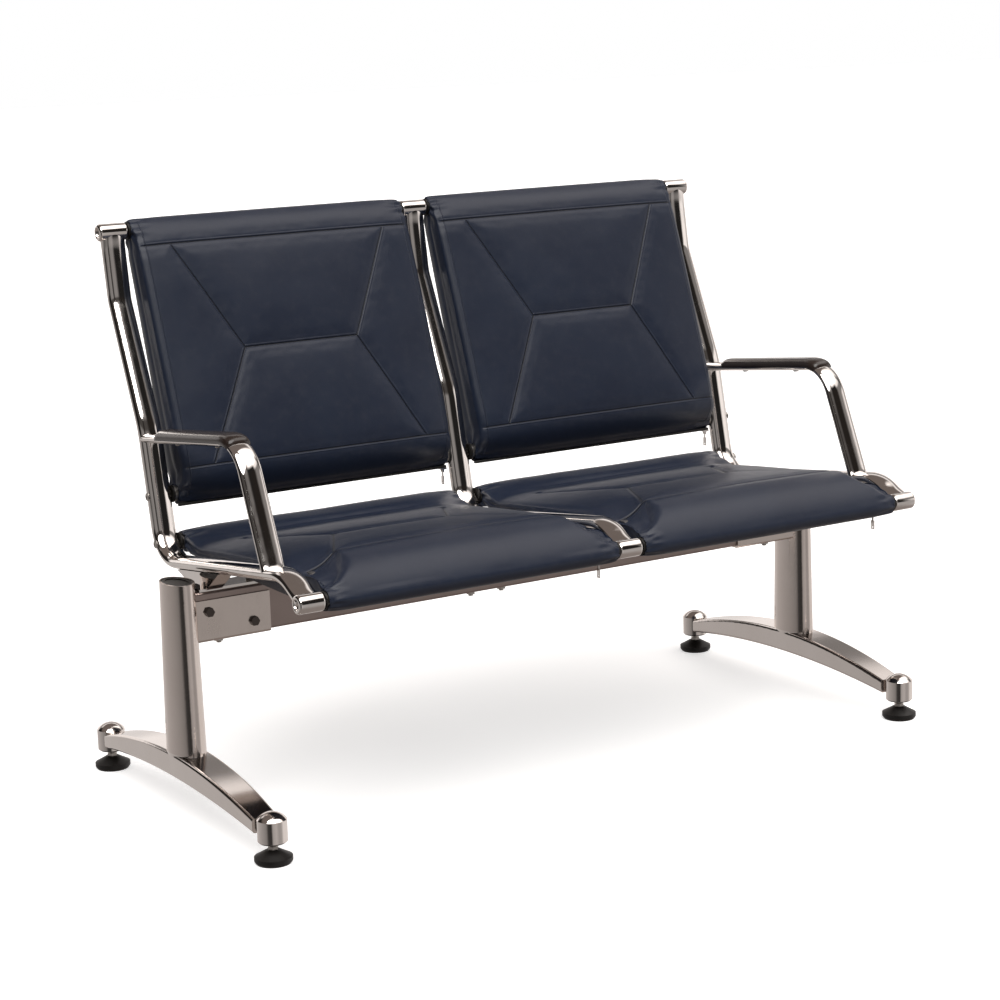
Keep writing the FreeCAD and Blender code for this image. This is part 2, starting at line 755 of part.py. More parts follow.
def make_cushions():
    """The four padded covers, hollow where their tubes and boards lie."""
    reach = ALONG_X * frame_pitch
    half = seat_half - board_side_margin + soft_clearance
    tube_room = cross_tube_diameter + 2 * soft_clearance

    def seat_low(x):
        return at(x, seat_front_seam_depth, seat_front_seam_height)

    def seat_high(x):
        return at(x, seat_rear_seam_depth, seat_rear_seam_height)

    def seat_waist(x):
        return (seat_low(x) + seat_high(x)) * 0.5

    def back_low(x):
        return on_back(x, back_low_seam_rise, back_low_seam_stand)

    def back_high(x):
        return on_back(x, back_high_seam_rise, back_high_seam_stand)

    def back_waist(x):
        return (back_low(x) + back_high(x)) * 0.5

    seat_up = (seat_high(0) - seat_low(0)).cross(ALONG_X).normalize()
    seat_up = seat_up if seat_up.z > 0 else seat_up * -1
    seat = cushion_form(seat_section, seat_side_drop, seat_half)
    lining = ALONG_Z * (cover_sheet - roll_radius)
    above = ALONG_Z * frame_pitch
    room = Part.Face(Part.makePolygon([
        front_axis + lining, rear_axis + lining, rear_axis + above, front_axis + above,
        front_axis + lining])).extrude(ALONG_X * (2 * half))
    room.translate(ALONG_X * -half)
    hollow = sheet(seat_board_corners, seat_board_radii, seat_hollow_depth,
                   board_thickness / 2 + soft_clearance, half)
    seat = seat.cut(hollow.common(room))
    for axis in (front_axis, rear_axis):
        seat = seat.cut(cylinder(axis - reach / 2, ALONG_X, frame_pitch, tube_room))
    for start, end in seam_lines(seat_low, seat_high, seat_waist, seat_half):
        seat = seat.cut(groove(start, end, seat_up))

    length = (top_axis - bottom_axis).Length
    half = back_half - board_side_margin + soft_clearance
    back = cushion_form(back_section, back_side_drop, back_half)
    corners = [on_back(-half, 0, board_thickness / 2 + soft_clearance),
               on_back(-half, length, board_thickness / 2 + soft_clearance),
               on_back(-half, length, cover_sheet - roll_radius),
               on_back(-half, 0, cover_sheet - roll_radius)]
    behind = Part.Face(Part.makePolygon(corners + corners[:1])).extrude(ALONG_X * (2 * half))
    back = back.cut(behind)
    for axis in (bottom_axis, top_axis):
        back = back.cut(cylinder(axis - reach / 2, ALONG_X, frame_pitch, tube_room))
    back_out = (back_high(0) - back_low(0)).cross(ALONG_X).normalize()
    back_out = back_out if back_out.y < 0 else back_out * -1
    for start, end in seam_lines(back_low, back_high, back_waist, back_half):
        back = back.cut(groove(start, end, back_out))

    for name, cushion in (("seat_cushion_", seat), ("back_cushion_", back)):
        cushion = max(cushion.Solids, key=lambda solid: solid.Volume)
        for side, x in seat_centres.items():
            save(name + side, moved(cushion, x))


def seat_underside(depth):
    """The height of the seat cushion's flat underside at a given depth."""
    front = front_axis - ALONG_Z * roll_radius
    rear = rear_axis - ALONG_Z * roll_radius
    share = (depth - middle_depth - front.y) / (rear.y - front.y)
    return front.z + (rear.z - front.z) * share


def back_underside(lead):
    """The height of the back cushion's bottom roll a little in front of its tube."""
    return bottom_axis.z - math.sqrt(roll_radius * roll_radius - lead * lead)


# Each zip's depth, the lowest point of the cover above it and half the cover's width
zip_places = {
    "seat": (seat_zip_depth, seat_underside(seat_zip_depth - zip_width / 2), seat_half),
    "back": (bottom_axis.y + middle_depth - back_zip_lead,
             back_underside(back_zip_lead - zip_width / 2), back_half),
}


def make_slider():
    """A zip slider under a tape whose underside is at height zero, with ears for its pull."""
    half_length = slider_length / 2
    half_width = slider_width / 2
    floor_top = -slider_clearance
    floor_low = floor_top - slider_floor
    body = box(Vector(-half_length, -half_width, floor_low),
               Vector(half_length, half_width, zip_thickness * slider_wall_share))
    room = zip_width / 2 + slider_clearance
    body = body.cut(box(Vector(-half_length, -room, floor_top), Vector(half_length, room, zip_thickness)))
    ear_inside = pull_width / 2 * pull_neck_share + pull_side_clearance
    pin_height = floor_low - slider_ear_drop + slider_ear
    for sign in (-1, 1):
        inner = sign * ear_inside
        outer = sign * (ear_inside + slider_ear)
        low = Vector(-slider_ear_half, min(inner, outer), floor_low - slider_ear_drop)
        high = Vector(slider_ear_half, max(inner, outer), floor_low)
        body = body.fuse(box(low, high))
    reach = ear_inside + slider_ear
    pin = cylinder(Vector(0, -reach, pin_height), ALONG_Y, 2 * reach, pull_pin_diameter)
    return body.fuse(pin).removeSplitter(), pin_height


def make_pull(pin_height):
    """A flat pull that hangs from the slider's pin, with a round hole near its end."""
    neck_half = pull_width / 2 * pull_neck_share
    eye = cylinder(Vector(0, -neck_half, pin_height), ALONG_Y, 2 * neck_half, pull_eye_diameter)
    half = pull_thickness / 2
    neck_low = pin_height - pull_length * pull_neck_length_share
    neck = box(Vector(-half, -neck_half, neck_low), Vector(half, neck_half, pin_height))
    blade = box(Vector(-half, -pull_width / 2, pin_height - pull_length),
                Vector(half, pull_width / 2, neck_low))
    hole = cylinder(Vector(-half, 0, pin_height - pull_length + pull_width / 2), ALONG_X,
                    pull_thickness, pull_hole_diameter)
    body = eye.fuse(neck).fuse(blade).cut(hole)
    bore = pull_pin_diameter + 2 * pull_bore_clearance
    bored = body.cut(cylinder(Vector(0, -pull_width, pin_height), ALONG_Y, 2 * pull_width, bore))
    return bored.removeSplitter()


def make_zips():
    """The zip tapes under the covers, their sliders and their pulls."""
    slider, pin_height = make_slider()
    pull = make_pull(pin_height)
    tapes = []
    for kind, (depth, cover, half_width) in zip_places.items():
        under = cover - soft_clearance - zip_thickness
        half_length = half_width - zip_end_margin
        for side, x in seat_centres.items():
            tapes.append(box(at(x - half_length, depth - zip_width / 2, under),
                             at(x + half_length, depth + zip_width / 2, under + zip_thickness)))
            slider_x = x + half_width - slider_inset
            place = at(slider_x, depth, under)
            save("zip_slider_%s_%s" % (kind, side), moved(slider, place.x, place.y, place.z))
            save("zip_pull_%s_%s" % (kind, side), moved(pull, place.x, place.y, place.z))
            print("pull pin at", slider_x, place.y, place.z + pin_height)
    save("zip_tapes", *tapes)


def oval_wire(x, height, width, depth):
    """A level ellipse, longer from front to back than along the beam."""
    centre = at(x, column_depth, height)
    ellipse = Part.Ellipse(centre, depth / 2, width / 2)
    ellipse.rotate(FreeCAD.Placement(centre, ALONG_Z, 90))
    return Part.Wire([ellipse.toShape()])


def column_size(height):
    """The column's width and depth at a height."""
    share = (height - column_bottom) / (column_top - column_bottom)
    return (column_bottom_width + (column_top_width - column_bottom_width) * share,
            column_bottom_depth + (column_top_depth - column_bottom_depth) * share)


def column_bar(low, high, inset):
    """The right hand column's tapering oval between two heights, drawn in by an inset."""
    wires = []
    for height in (low, high):
        width, depth = column_size(height)
        wires.append(oval_wire(column_x, height, width - 2 * inset, depth - 2 * inset))
    return Part.makeLoft(wires, True, True)


def make_columns():
    """The two columns with their caps."""
    bar = column_bar(column_bottom, column_top, 0)
    column = bar.cut(column_bar(column_bottom + column_floor, column_top, column_wall))
    for place in (-foot_bolt_spacing / 2, foot_bolt_spacing / 2):
        start = at(column_x, column_depth + place, column_bottom)
        column = column.cut(cylinder(start, ALONG_Z, column_floor, foot_bolt_diameter + thread_clearance))
    cap_top = column_top - cap_inset
    cap = column_bar(cap_top - cap_thickness, cap_top, column_wall + cap_clearance)
    recess = column_bar(cap_top - cap_recess, cap_top, column_wall + cap_rim)
    cap = cap.cut(recess)
    for side, sign in side_signs.items():
        save("leg_column_" + side, column if sign > 0 else mirrored(column))
    save("column_caps", cap, mirrored(cap))
    return bar


def hex_bolt(under_head, direction, length, diameter, flats, height):
    """A hexagon bolt that points along a direction from the face under its head."""
    head = hexagon(under_head, direction * -1, height, flats)
    return head.fuse(cylinder(under_head, direction, length, diameter))


def beam_profile(inset):
    """The beam's rounded rectangle across its length."""
    low = at(-column_x, column_depth - beam_depth / 2 + inset, beam_bottom + inset)
    block = Part.makeBox(2 * column_x, beam_depth - 2 * inset, beam_height - 2 * inset, low)
    long_edges = [edge for edge in block.Edges if edge.Length > column_x]
    return block.makeFillet(beam_corner - inset, long_edges)


def make_beam(column):
    """The beam, its sockets on the columns and the socket screws."""
    bore = bolt_diameter + bolt_hole_clearance
    beam = beam_profile(0).cut(beam_profile(beam_wall)).cut(column).cut(mirrored(column))
    beam = max(beam.Solids, key=lambda solid: solid.Volume)
    for name, x in frame_places.items():
        near, far = saddle_bolt_places(name)
        beam = beam.cut(cylinder(at(near, column_depth, beam_bottom - 1), ALONG_Z, beam_height + 2, bore))
        low = beam_bottom - 1 if name == "centre" else beam_top - beam_wall - 1
        beam = beam.cut(cylinder(at(far, column_depth, low), ALONG_Z, beam_top + 1 - low, bore))
    sheet_low = beam_bottom - socket_sheet
    outer = box(at(column_x - socket_reach, beam_front - socket_sheet, sheet_low),
                at(column_x, beam_rear + socket_sheet, sheet_low + socket_side_height))
    low_edges = [edge for edge in outer.Edges
                 if edge.Length > socket_reach - 1 and edge.CenterOfMass.z < beam_bottom]
    outer = outer.makeFillet(beam_corner, low_edges)
    socket = outer.cut(beam_profile(0))
    above = box(at(column_x - socket_reach, beam_front, beam_bottom + beam_corner),
                at(column_x, beam_rear, beam_top))
    socket = socket.cut(above).cut(column)
    socket = max(socket.Solids, key=lambda solid: solid.Volume)
    screws = []
    screw_length = 2 * socket_sheet + beam_wall
    for reach, height in ((socket_screw_near, socket_screw_near_height),
                          (socket_screw_far, socket_screw_far_height)):
        under = at(column_x - reach, beam_front - socket_sheet, height)
        hole = cylinder(under - ALONG_Y, ALONG_Y, screw_length + 2, bore)
        socket = socket.cut(hole)
        beam = beam.cut(hole).cut(mirrored(hole))
        screws.append(hex_bolt(under, ALONG_Y, screw_length, bolt_diameter, hex_head_flats, hex_head_height))
    near = saddle_bolt_places("right")[0]
    socket = socket.cut(cylinder(at(near, column_depth, sheet_low - 1), ALONG_Z, socket_sheet + 2, bore))
    save("beam", beam)
    save("beam_socket_right", socket)
    save("beam_socket_left", mirrored(socket))
    save("socket_screws", *(screws + [mirrored(screw) for screw in screws]))


def saddle_bolt_places(name):
    """Where the two bolts of a frame's saddle stand along the beam."""
    toward = 1 if name == "left" else -1
    x = frame_places[name]
    return (x + toward * saddle_bolt_near, x + toward * saddle_bolt_far)


def make_saddles():
    """The brackets between the beam and the side frames, and their bolts."""
    plate = box(at(-saddle_outer_reach, beam_front, beam_top),
                at(saddle_inner_reach, beam_rear, beam_top + saddle_plate))
    foot_height = beam_top + saddle_plate
    front_top = on_rail(saddle_front_depth)
    rear_top = on_rail(saddle_rear_depth)
    heel_front = at(0, column_depth - saddle_heel, foot_height)
    heel_rear = at(0, column_depth + saddle_heel, foot_height)
    outline = [front_top, rear_top, heel_rear, heel_front, front_top]
    web = Part.Face(Part.makePolygon(outline)).extrude(ALONG_X * saddle_web_width)
    web.translate(ALONG_X * (-saddle_web_width / 2))
    inner_width = saddle_web_width - 2 * saddle_web_sheet
    drop = ALONG_Z * saddle_web_sheet
    edge = saddle_edge_sheets * saddle_web_sheet
    hollow_front = on_rail(saddle_front_depth + edge) + drop
    hollow_rear = on_rail(saddle_rear_depth - edge) + drop
    hollow = Part.Face(Part.makePolygon([
        hollow_front, hollow_rear, heel_rear - ALONG_Y * saddle_web_sheet,
        heel_front + ALONG_Y * saddle_web_sheet, hollow_front])).extrude(ALONG_X * inner_width)
    hollow.translate(ALONG_X * (-inner_width / 2))
    web = web.cut(hollow).cut(frame_bar)
    web = max(web.Solids, key=lambda solid: solid.Volume)
    saddle = plate.fuse(web).removeSplitter()
    bore = bolt_diameter + bolt_hole_clearance
    for reach in (saddle_bolt_near, saddle_bolt_far):
        start = at(-reach, column_depth, beam_top - 1)
        saddle = saddle.cut(cylinder(start, ALONG_Z, saddle_plate + 2, bore))
        clear = cylinder(at(-reach, column_depth, foot_height), ALONG_Z,
                         hex_head_height + spanner_height, hex_head_flats + 2 * spanner_room)
        saddle = saddle.cut(clear)
    saddle = max(saddle.Solids, key=lambda solid: solid.Volume)
    saddles = []
    bolts = []
    for name, x in frame_places.items():
        saddles.append(moved(mirrored(saddle), x) if name == "left" else moved(saddle, x))
        near, far = saddle_bolt_places(name)
        through = beam_bottom if name == "centre" else beam_bottom - socket_sheet
        short = beam_bottom if name == "centre" else beam_top - beam_wall
        for bolt_x, under_nut in ((near, through), (far, short)):
            under_head = at(bolt_x, column_depth, foot_height)
            length = foot_height - under_nut + nut_height + bolt_end_length
            bolt = hex_bolt(under_head, ALONG_Z * -1, length, bolt_diameter, hex_head_flats, hex_head_height)
            nut = hexagon(at(bolt_x, column_depth, under_nut), ALONG_Z * -1, nut_height, hex_head_flats)
            bolts.append(bolt.fuse(nut).removeSplitter())
    save("frame_saddles", *saddles)
    save("beam_bolts", *bolts)


def foot_profile():
    """The arched bar of a foot from the side, between the centres of its bosses."""
    front = foot_middle_depth - foot_arc_half_length
    rear = foot_middle_depth + foot_arc_half_length
    return Part.Wire([
        arc_through(at(0, front, foot_end_height), at(0, foot_middle_depth, foot_crest_height),
                    at(0, rear, foot_end_height)),
        straight(at(0, rear, foot_end_height), at(0, rear, foot_belly_end_height)),
        arc_through(at(0, rear, foot_belly_end_height), at(0, foot_middle_depth, foot_belly_height),
                    at(0, front, foot_belly_end_height)),
        straight(at(0, front, foot_belly_end_height), at(0, front, foot_end_height)),
    ])


def foot_plan():
    """The bar of a foot from above: widest at the column."""
    front = foot_middle_depth - foot_arc_half_length
    rear = foot_middle_depth + foot_arc_half_length
    end = foot_end_width / 2
    mid = foot_mid_width / 2
    low = foot_belly_end_height - foot_edge
    return Part.Face(Part.Wire([
        arc_through(at(end, front, low), at(mid, foot_middle_depth, low), at(end, rear, low)),
        straight(at(end, rear, low), at(-end, rear, low)),
        arc_through(at(-end, rear, low), at(-mid, foot_middle_depth, low), at(-end, front, low)),
        straight(at(-end, front, low), at(end, front, low)),
    ]))


def make_boss(depth):
    """A round domed boss that takes a levelling glide."""
    radius = boss_diameter / 2
    dome_rise = boss_top - boss_shoulder
    dome_radius = (radius * radius + dome_rise * dome_rise) / (2 * dome_rise)
    dome_angle = math.asin(radius / dome_radius) / 2
    middle = Vector(dome_radius * math.sin(dome_angle), 0,
                    boss_top - dome_radius * (1 - math.cos(dome_angle)))
    profile = Part.Wire([
        straight(Vector(0, 0, boss_bottom), Vector(radius - boss_edge, 0, boss_bottom)),
        straight(Vector(radius - boss_edge, 0, boss_bottom), Vector(radius, 0, boss_bottom + boss_edge)),
        straight(Vector(radius, 0, boss_bottom + boss_edge), Vector(radius, 0, boss_shoulder)),
        arc_through(Vector(radius, 0, boss_shoulder), middle, Vector(0, 0, boss_top)),
        straight(Vector(0, 0, boss_top), Vector(0, 0, boss_bottom)),
    ])
    boss = Part.Face(profile).revolve(Vector(0, 0, 0), ALONG_Z, 360)
    place = at(0, depth, 0)
    boss.translate(place)
    return boss


def make_feet():
    """The arched feet and the bolts that hold the columns on them."""
    bar = Part.Face(foot_profile()).extrude(ALONG_X * foot_mid_width)
    bar.translate(ALONG_X * (-foot_mid_width / 2))
    bar = bar.common(foot_plan().extrude(ALONG_Z * foot_crest_height))
    long_edges = [edge for edge in bar.Edges if edge.Length > foot_arc_half_length]
    bar = bar.makeFillet(foot_edge, long_edges)
    glide_depths = (foot_middle_depth - glide_spread / 2, foot_middle_depth + glide_spread / 2)
    foot = bar
    for depth in glide_depths:
        foot = foot.fuse(make_boss(depth))
    width, depth = column_size(column_bottom)
    pad = Part.Face(oval_wire(0, foot_belly_height + foot_edge, width, depth))
    foot = foot.fuse(pad.extrude(ALONG_Z * (column_bottom - foot_belly_height - foot_edge)))
    for depth in glide_depths:
        start = at(0, depth, boss_bottom - 1)
        length = stem_bore_top - start.z
        foot = foot.cut(cylinder(start, ALONG_Z, length, stem_diameter + 2 * stem_clearance))
    bolts = []
    for place in (-foot_bolt_spacing / 2, foot_bolt_spacing / 2):
        under = at(0, column_depth + place, foot_belly_height - foot_edge)
        seat = under + ALONG_Z * (foot_edge + foot_bolt_recess)
        recess = foot_bolt_head_diameter + foot_bolt_head_clearance
        foot = foot.cut(cylinder(under, ALONG_Z, foot_edge + foot_bolt_recess, recess))
        hole = foot_bolt_diameter + bolt_hole_clearance
        foot = foot.cut(cylinder(seat, ALONG_Z, column_bottom, hole))
        length = column_bottom + column_floor - seat.z
        head = cylinder(seat, ALONG_Z * -1, foot_bolt_head_height, foot_bolt_head_diameter)
        bolts.append(head.fuse(cylinder(seat, ALONG_Z, length, foot_bolt_diameter)))
    foot = max(foot.removeSplitter().Solids, key=lambda solid: solid.Volume)
    for side, sign in side_signs.items():
        save("foot_" + side, moved(foot, sign * column_x))
    save("foot_bolts", *[moved(bolt, sign * column_x) for sign in (-1, 1) for bolt in bolts])


def make_glides():
    """The four levelling glides: a disc that stands still and a stem that turns."""
    radius = glide_diameter / 2
    sole = glide_sole_diameter / 2
    cone = glide_cone_foot_diameter / 2
    neck = glide_neck_diameter / 2
    outline = [Vector(0, 0, 0), Vector(sole, 0, 0), Vector(radius, 0, glide_rim_bottom),
               Vector(radius, 0, glide_rim_top), Vector(cone, 0, glide_cone_foot_height),
               Vector(neck, 0, glide_height), Vector(0, 0, glide_height), Vector(0, 0, 0)]
    base = Part.Face(Part.makePolygon(outline)).revolve(Vector(0, 0, 0), ALONG_Z, 360)
    base = base.cut(cylinder(Vector(0, 0, glide_socket_floor), ALONG_Z, glide_height, glide_socket_diameter))
    hex_low = glide_height + stem_pin_clearance
    pin_low = glide_socket_floor + stem_pin_clearance
    stem = hexagon(Vector(0, 0, hex_low), ALONG_Z, stem_hex_height, stem_hex_flats)
    stem = stem.fuse(cylinder(Vector(0, 0, pin_low), ALONG_Z, hex_low - pin_low, stem_pin_diameter))
    rod_low = hex_low + stem_hex_height
    rod = cylinder(Vector(0, 0, rod_low), ALONG_Z, stem_top - rod_low, stem_diameter)
    stem = stem.fuse(rod).removeSplitter()
    reach = glide_spread / 2
    for end, depth in (("front", foot_middle_depth - reach), ("rear", foot_middle_depth + reach)):
        for side, sign in side_signs.items():
            place = at(sign * column_x, depth, 0)
            save("glide_base_%s_%s" % (end, side), moved(base, place.x, place.y))
            save("glide_stem_%s_%s" % (end, side), moved(stem, place.x, place.y))


os.makedirs("parts", exist_ok=True)
column_solid = make_columns()
make_beam(column_solid)
make_saddles()
make_feet()
make_glides()
make_side_frames()
make_cross_tubes()
make_armrests()
make_boards()
make_cushions()
make_zips()
print("middle depth", middle_depth, "rear tube", rear_axis, "bottom tube", bottom_axis)
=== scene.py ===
# %% [markdown]
# # A two-place beam bench
# Padded leather seats and backs hang between three chrome frames. The frames stand on one
# beam, and the beam on two columns with arched feet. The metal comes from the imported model
# and only gets its finishes here. The leather is modelled in this file, because a soft cover
# has swells, gathers and seams that a solid doesn't show.

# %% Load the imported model
import json
import math

import bmesh
import bpy
import numpy as np
from mathutils import Matrix, Vector


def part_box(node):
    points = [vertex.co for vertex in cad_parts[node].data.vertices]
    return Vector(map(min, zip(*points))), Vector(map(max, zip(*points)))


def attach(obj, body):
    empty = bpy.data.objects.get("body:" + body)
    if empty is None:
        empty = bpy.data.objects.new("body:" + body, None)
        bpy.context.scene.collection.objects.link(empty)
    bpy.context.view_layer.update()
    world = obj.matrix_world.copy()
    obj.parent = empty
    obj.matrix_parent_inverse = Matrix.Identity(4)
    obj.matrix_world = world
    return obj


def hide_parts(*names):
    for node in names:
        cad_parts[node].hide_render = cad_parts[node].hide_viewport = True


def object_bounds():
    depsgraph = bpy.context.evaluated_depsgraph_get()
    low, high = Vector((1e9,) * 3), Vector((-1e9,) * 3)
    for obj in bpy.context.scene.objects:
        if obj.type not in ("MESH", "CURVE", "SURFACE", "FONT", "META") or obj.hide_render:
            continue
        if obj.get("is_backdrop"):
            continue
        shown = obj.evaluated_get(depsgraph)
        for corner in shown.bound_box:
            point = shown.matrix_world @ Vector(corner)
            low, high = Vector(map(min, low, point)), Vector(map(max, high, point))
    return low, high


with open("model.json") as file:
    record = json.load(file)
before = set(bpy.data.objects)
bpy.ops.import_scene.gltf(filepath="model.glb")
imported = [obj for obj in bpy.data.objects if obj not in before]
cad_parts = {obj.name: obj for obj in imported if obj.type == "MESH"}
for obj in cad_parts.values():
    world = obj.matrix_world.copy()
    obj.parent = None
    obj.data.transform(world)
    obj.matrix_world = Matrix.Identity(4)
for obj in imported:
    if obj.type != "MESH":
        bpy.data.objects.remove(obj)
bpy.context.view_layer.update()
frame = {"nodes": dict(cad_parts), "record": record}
scene = bpy.context.scene

# %% [markdown]
# ## Where the tubes are
# Each cover is pulled over two cross tubes. Their axes are the middles of the tubes' boxes,
# so the leather follows the metal if the model is packed again with other sizes.


# %% Measure the cross tubes
def middle(node):
    """The middle of a node's box."""
    low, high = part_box(node)
    return (low + high) / 2


seat_front = middle("seat_front_tube_left")
seat_rear = middle("seat_rear_tube_left")
back_low = middle("back_bottom_tube_left")
back_high = middle("back_top_tube_left")
seat_centres = {"left": seat_front.x, "right": -seat_front.x}
seat_low, seat_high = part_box("seat_cushion_left")
back_box_low, back_box_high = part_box("back_cushion_left")
seat_half = (seat_high.x - seat_low.x) / 2
back_half = (back_box_high.x - back_box_low.x) / 2
print("seat half width", round(seat_half, 4), "back half width", round(back_half, 4))

# %% [markdown]
# ## The cover's outline
# From the side a seat is a waterfall: a roll over the front tube, a swelling front, a long
# slightly falling top and a roll over the rear tube. The outline is kept as two halves with
# the same number of points, one over the top and one below, both from the front of the
# cushion to its rear. Pairing the halves also gives clean faces for the sides.

# %% Helpers for outlines
ROWS = 92  # points on each half of an outline
ROLL = 0.0185  # radius of the leather over a cross tube


def arc(centre, radius, start, end, count):
    """Points on an arc, angles in degrees from the first axis towards the second."""
    angles = np.radians(np.linspace(start, end, count))
    return np.column_stack([centre[0] + radius * np.cos(angles),
                            centre[1] + radius * np.sin(angles)])


def bow(start, end, rise, count):
    """Points from start to end on a shallow bow that stands rise to its left side."""
    start, end = np.array(start, float), np.array(end, float)
    share = np.linspace(0, 1, count)[:, None]
    onward = end - start
    left = np.array([-onward[1], onward[0]]) / np.linalg.norm(onward)
    return start + onward * share + left * rise * 4 * share * (1 - share)


def chain(runs):
    """Joins runs of points and gives each point its place: run number plus the share of the run."""
    points, places = [], []
    for number, run in enumerate(runs):
        steps = np.linalg.norm(np.diff(run, axis=0), axis=1)
        share = np.concatenate([[0], np.cumsum(steps)]) / steps.sum()
        first = 0 if number == 0 else 1
        points.append(run[first:])
        places.append(number + share[first:])
    return np.concatenate(points), np.concatenate(places)


def lengths_along(line):
    """The distance of each point of a line from its start."""
    return np.concatenate([[0], np.cumsum(np.linalg.norm(np.diff(line, axis=0), axis=1))])


def points_at(wanted, along, line):
    """The points of a line at wanted distances; along holds its own points' distances."""
    return np.column_stack([np.interp(wanted, along, line[:, n]) for n in (0, 1)])


def evenly(points, places, count):
    """The same line with evenly spread points, which cloth and subdivision both like."""
    along = lengths_along(points)
    wanted = np.linspace(0, along[-1], count)
    return points_at(wanted, along, points), np.interp(wanted, along, places)


# %% The seat's outline
SEAM_FRONT = (-0.2445, 0.437)
SEAM_REAR = (0.0885, 0.397)
front = (seat_front.y, seat_front.z)
rear = (seat_rear.y, seat_rear.z)
seat_top_runs = [
    bow((front[0] - ROLL, front[1]), SEAM_FRONT, 0.017, 30),
    bow(SEAM_FRONT, SEAM_REAR, 0.002, 60),
    bow(SEAM_REAR, (rear[0], rear[1] + ROLL), 0.001, 20),
    arc(rear, ROLL, 90, 0, 12),
]
seat_low_runs = [
    arc(front, ROLL, 180, 270, 12),
    bow((front[0], front[1] - ROLL), (rear[0], rear[1] - ROLL), 0.0, 60),
    arc(rear, ROLL, -90, 0, 12),
]
seat_top, seat_top_place = evenly(*chain(seat_top_runs), ROWS)
seat_under, _ = evenly(*chain(seat_low_runs), ROWS)
print("seat outline", len(seat_top), "points a side")

# %% [markdown]
# A back is worked out in its own plane: one axis climbs from the bottom tube to the top tube,
# the other stands out to the front. It is thick over the small of the back and thin at the top.

# %% The back's outline
back_rise = (back_high - back_low).normalized()
back_stand = Vector((0, -back_rise.z, back_rise.y))
back_length = (back_high - back_low).length
LOW_SEAM = (0.032, 0.052)
HIGH_SEAM = (0.385, 0.034)
slant = ROLL * math.sqrt(0.5)
back_front_runs = [
    arc((0, 0), ROLL, 180, 120, 8),
    bow((-ROLL * 0.5, ROLL * math.sqrt(0.75)), LOW_SEAM, 0.008, 14),
    bow(LOW_SEAM, HIGH_SEAM, 0.002, 60),
    bow(HIGH_SEAM, (back_length + slant, slant), 0.003, 14),
    arc((back_length, 0), ROLL, 45, 0, 6),
]
back_rear_runs = [
    arc((0, 0), ROLL, 180, 270, 12),
    bow((0, -ROLL), (back_length, -ROLL), 0.0015, 60),
    arc((back_length, 0), ROLL, -90, 0, 12),
]
back_front, back_front_place = evenly(*chain(back_front_runs), ROWS)
back_behind, _ = evenly(*chain(back_rear_runs), ROWS)
print("back outline", len(back_front), "points a side")

# %% [markdown]
# ## The sewn hourglass
# Two cross seams, a short waist and four slanted seams divide each cover into panels. The
# middle panels lie flat, the side panels fall away to the frames. One function says how far
# across the cover the hourglass is at a given place, and one how far the leather falls there.

# %% Seam shape shared by seats and backs
WAIST = 0.100  # half the hourglass's width at the waist seam
WIDE = 0.190  # and at the cross seams
SEAT_ROUND = 0.030  # how far in from the sides a seat rounds off
BACK_ROUND = 0.016
CROWN = 0.003
UNDER_EDGE = 0.003


def smooth(value, low, high):
    """A soft step from 0 at low to 1 at high."""
    share = np.clip((value - low) / (high - low), 0, 1)
    return share * share * (3 - 2 * share)


def hourglass(share):
    """Half the hourglass's width at a share of the way between its cross seams."""
    return WAIST + (WIDE - WAIST) * np.abs(2 * np.clip(share, 0, 1) - 1)


def round_edge(across, half, rounding):
    """The fall of a round edge, from 0 where it starts to 1 at the side."""
    turn = np.clip((across - (half - rounding)) / rounding, 0, 1)
    return 1 - np.sqrt(1 - turn ** 2)


def side_fall(across, seam_at, half, slope, edge, rounding):
    """How far the leather lies below the middle panels: a slope, then a round edge."""
    out = np.clip((across - seam_at) / (half - seam_at), 0, 1)
    return slope * out + edge * round_edge(across, half, rounding)


def crown(across, half, rounding):
    """How far the middle of a cushion stands up above its sides."""
    return CROWN * (1 - np.clip(across / (half - rounding), 0, 1) ** 2)


print("hourglass half widths", [float(hourglass(share)) for share in (0.5, 0.0)])


# %% Stations across a cushion
def stations(half, rounding):
    """Places across a cushion, closer together where it rounds off."""
    plain = np.linspace(-(half - rounding), half - rounding, 71)
    turn = half - rounding + rounding * np.sin(np.radians([18, 36, 52, 66, 78, 86, 90]))
    return np.concatenate([-turn[::-1], plain, turn])


def normals_of(points):
    """Unit directions square to an outline, to its left."""
    along = np.gradient(points, axis=0)
    along /= np.linalg.norm(along, axis=1)[:, None]
    return np.stack([-along[:, 1], along[:, 0]], axis=1)


# %% [markdown]
# ## From outlines to a closed skin
# Every station repeats the outline, moved inwards by the fall at that place. The two end
# stations are closed by a strip of faces between the upper and the lower half, with a fine
# valley in its middle: that is the seam at which the cover's front and rear skins are joined.


# %% Build one skin
def placed(name, data):
    """A new object for a mesh, a camera or a lamp, in the scene."""
    piece = bpy.data.objects.new(name, data)
    scene.collection.objects.link(piece)
    return piece


def smooth_faces(mesh):
    """Shades a mesh smoothly."""
    for face in mesh.polygons:
        face.use_smooth = True


def face_outwards(piece):
    """Makes every face look out of a closed piece."""
    work = bmesh.new()
    work.from_mesh(piece.data)
    bmesh.ops.recalc_face_normals(work, faces=work.faces)
    work.to_mesh(piece.data)
    work.free()
    smooth_faces(piece.data)


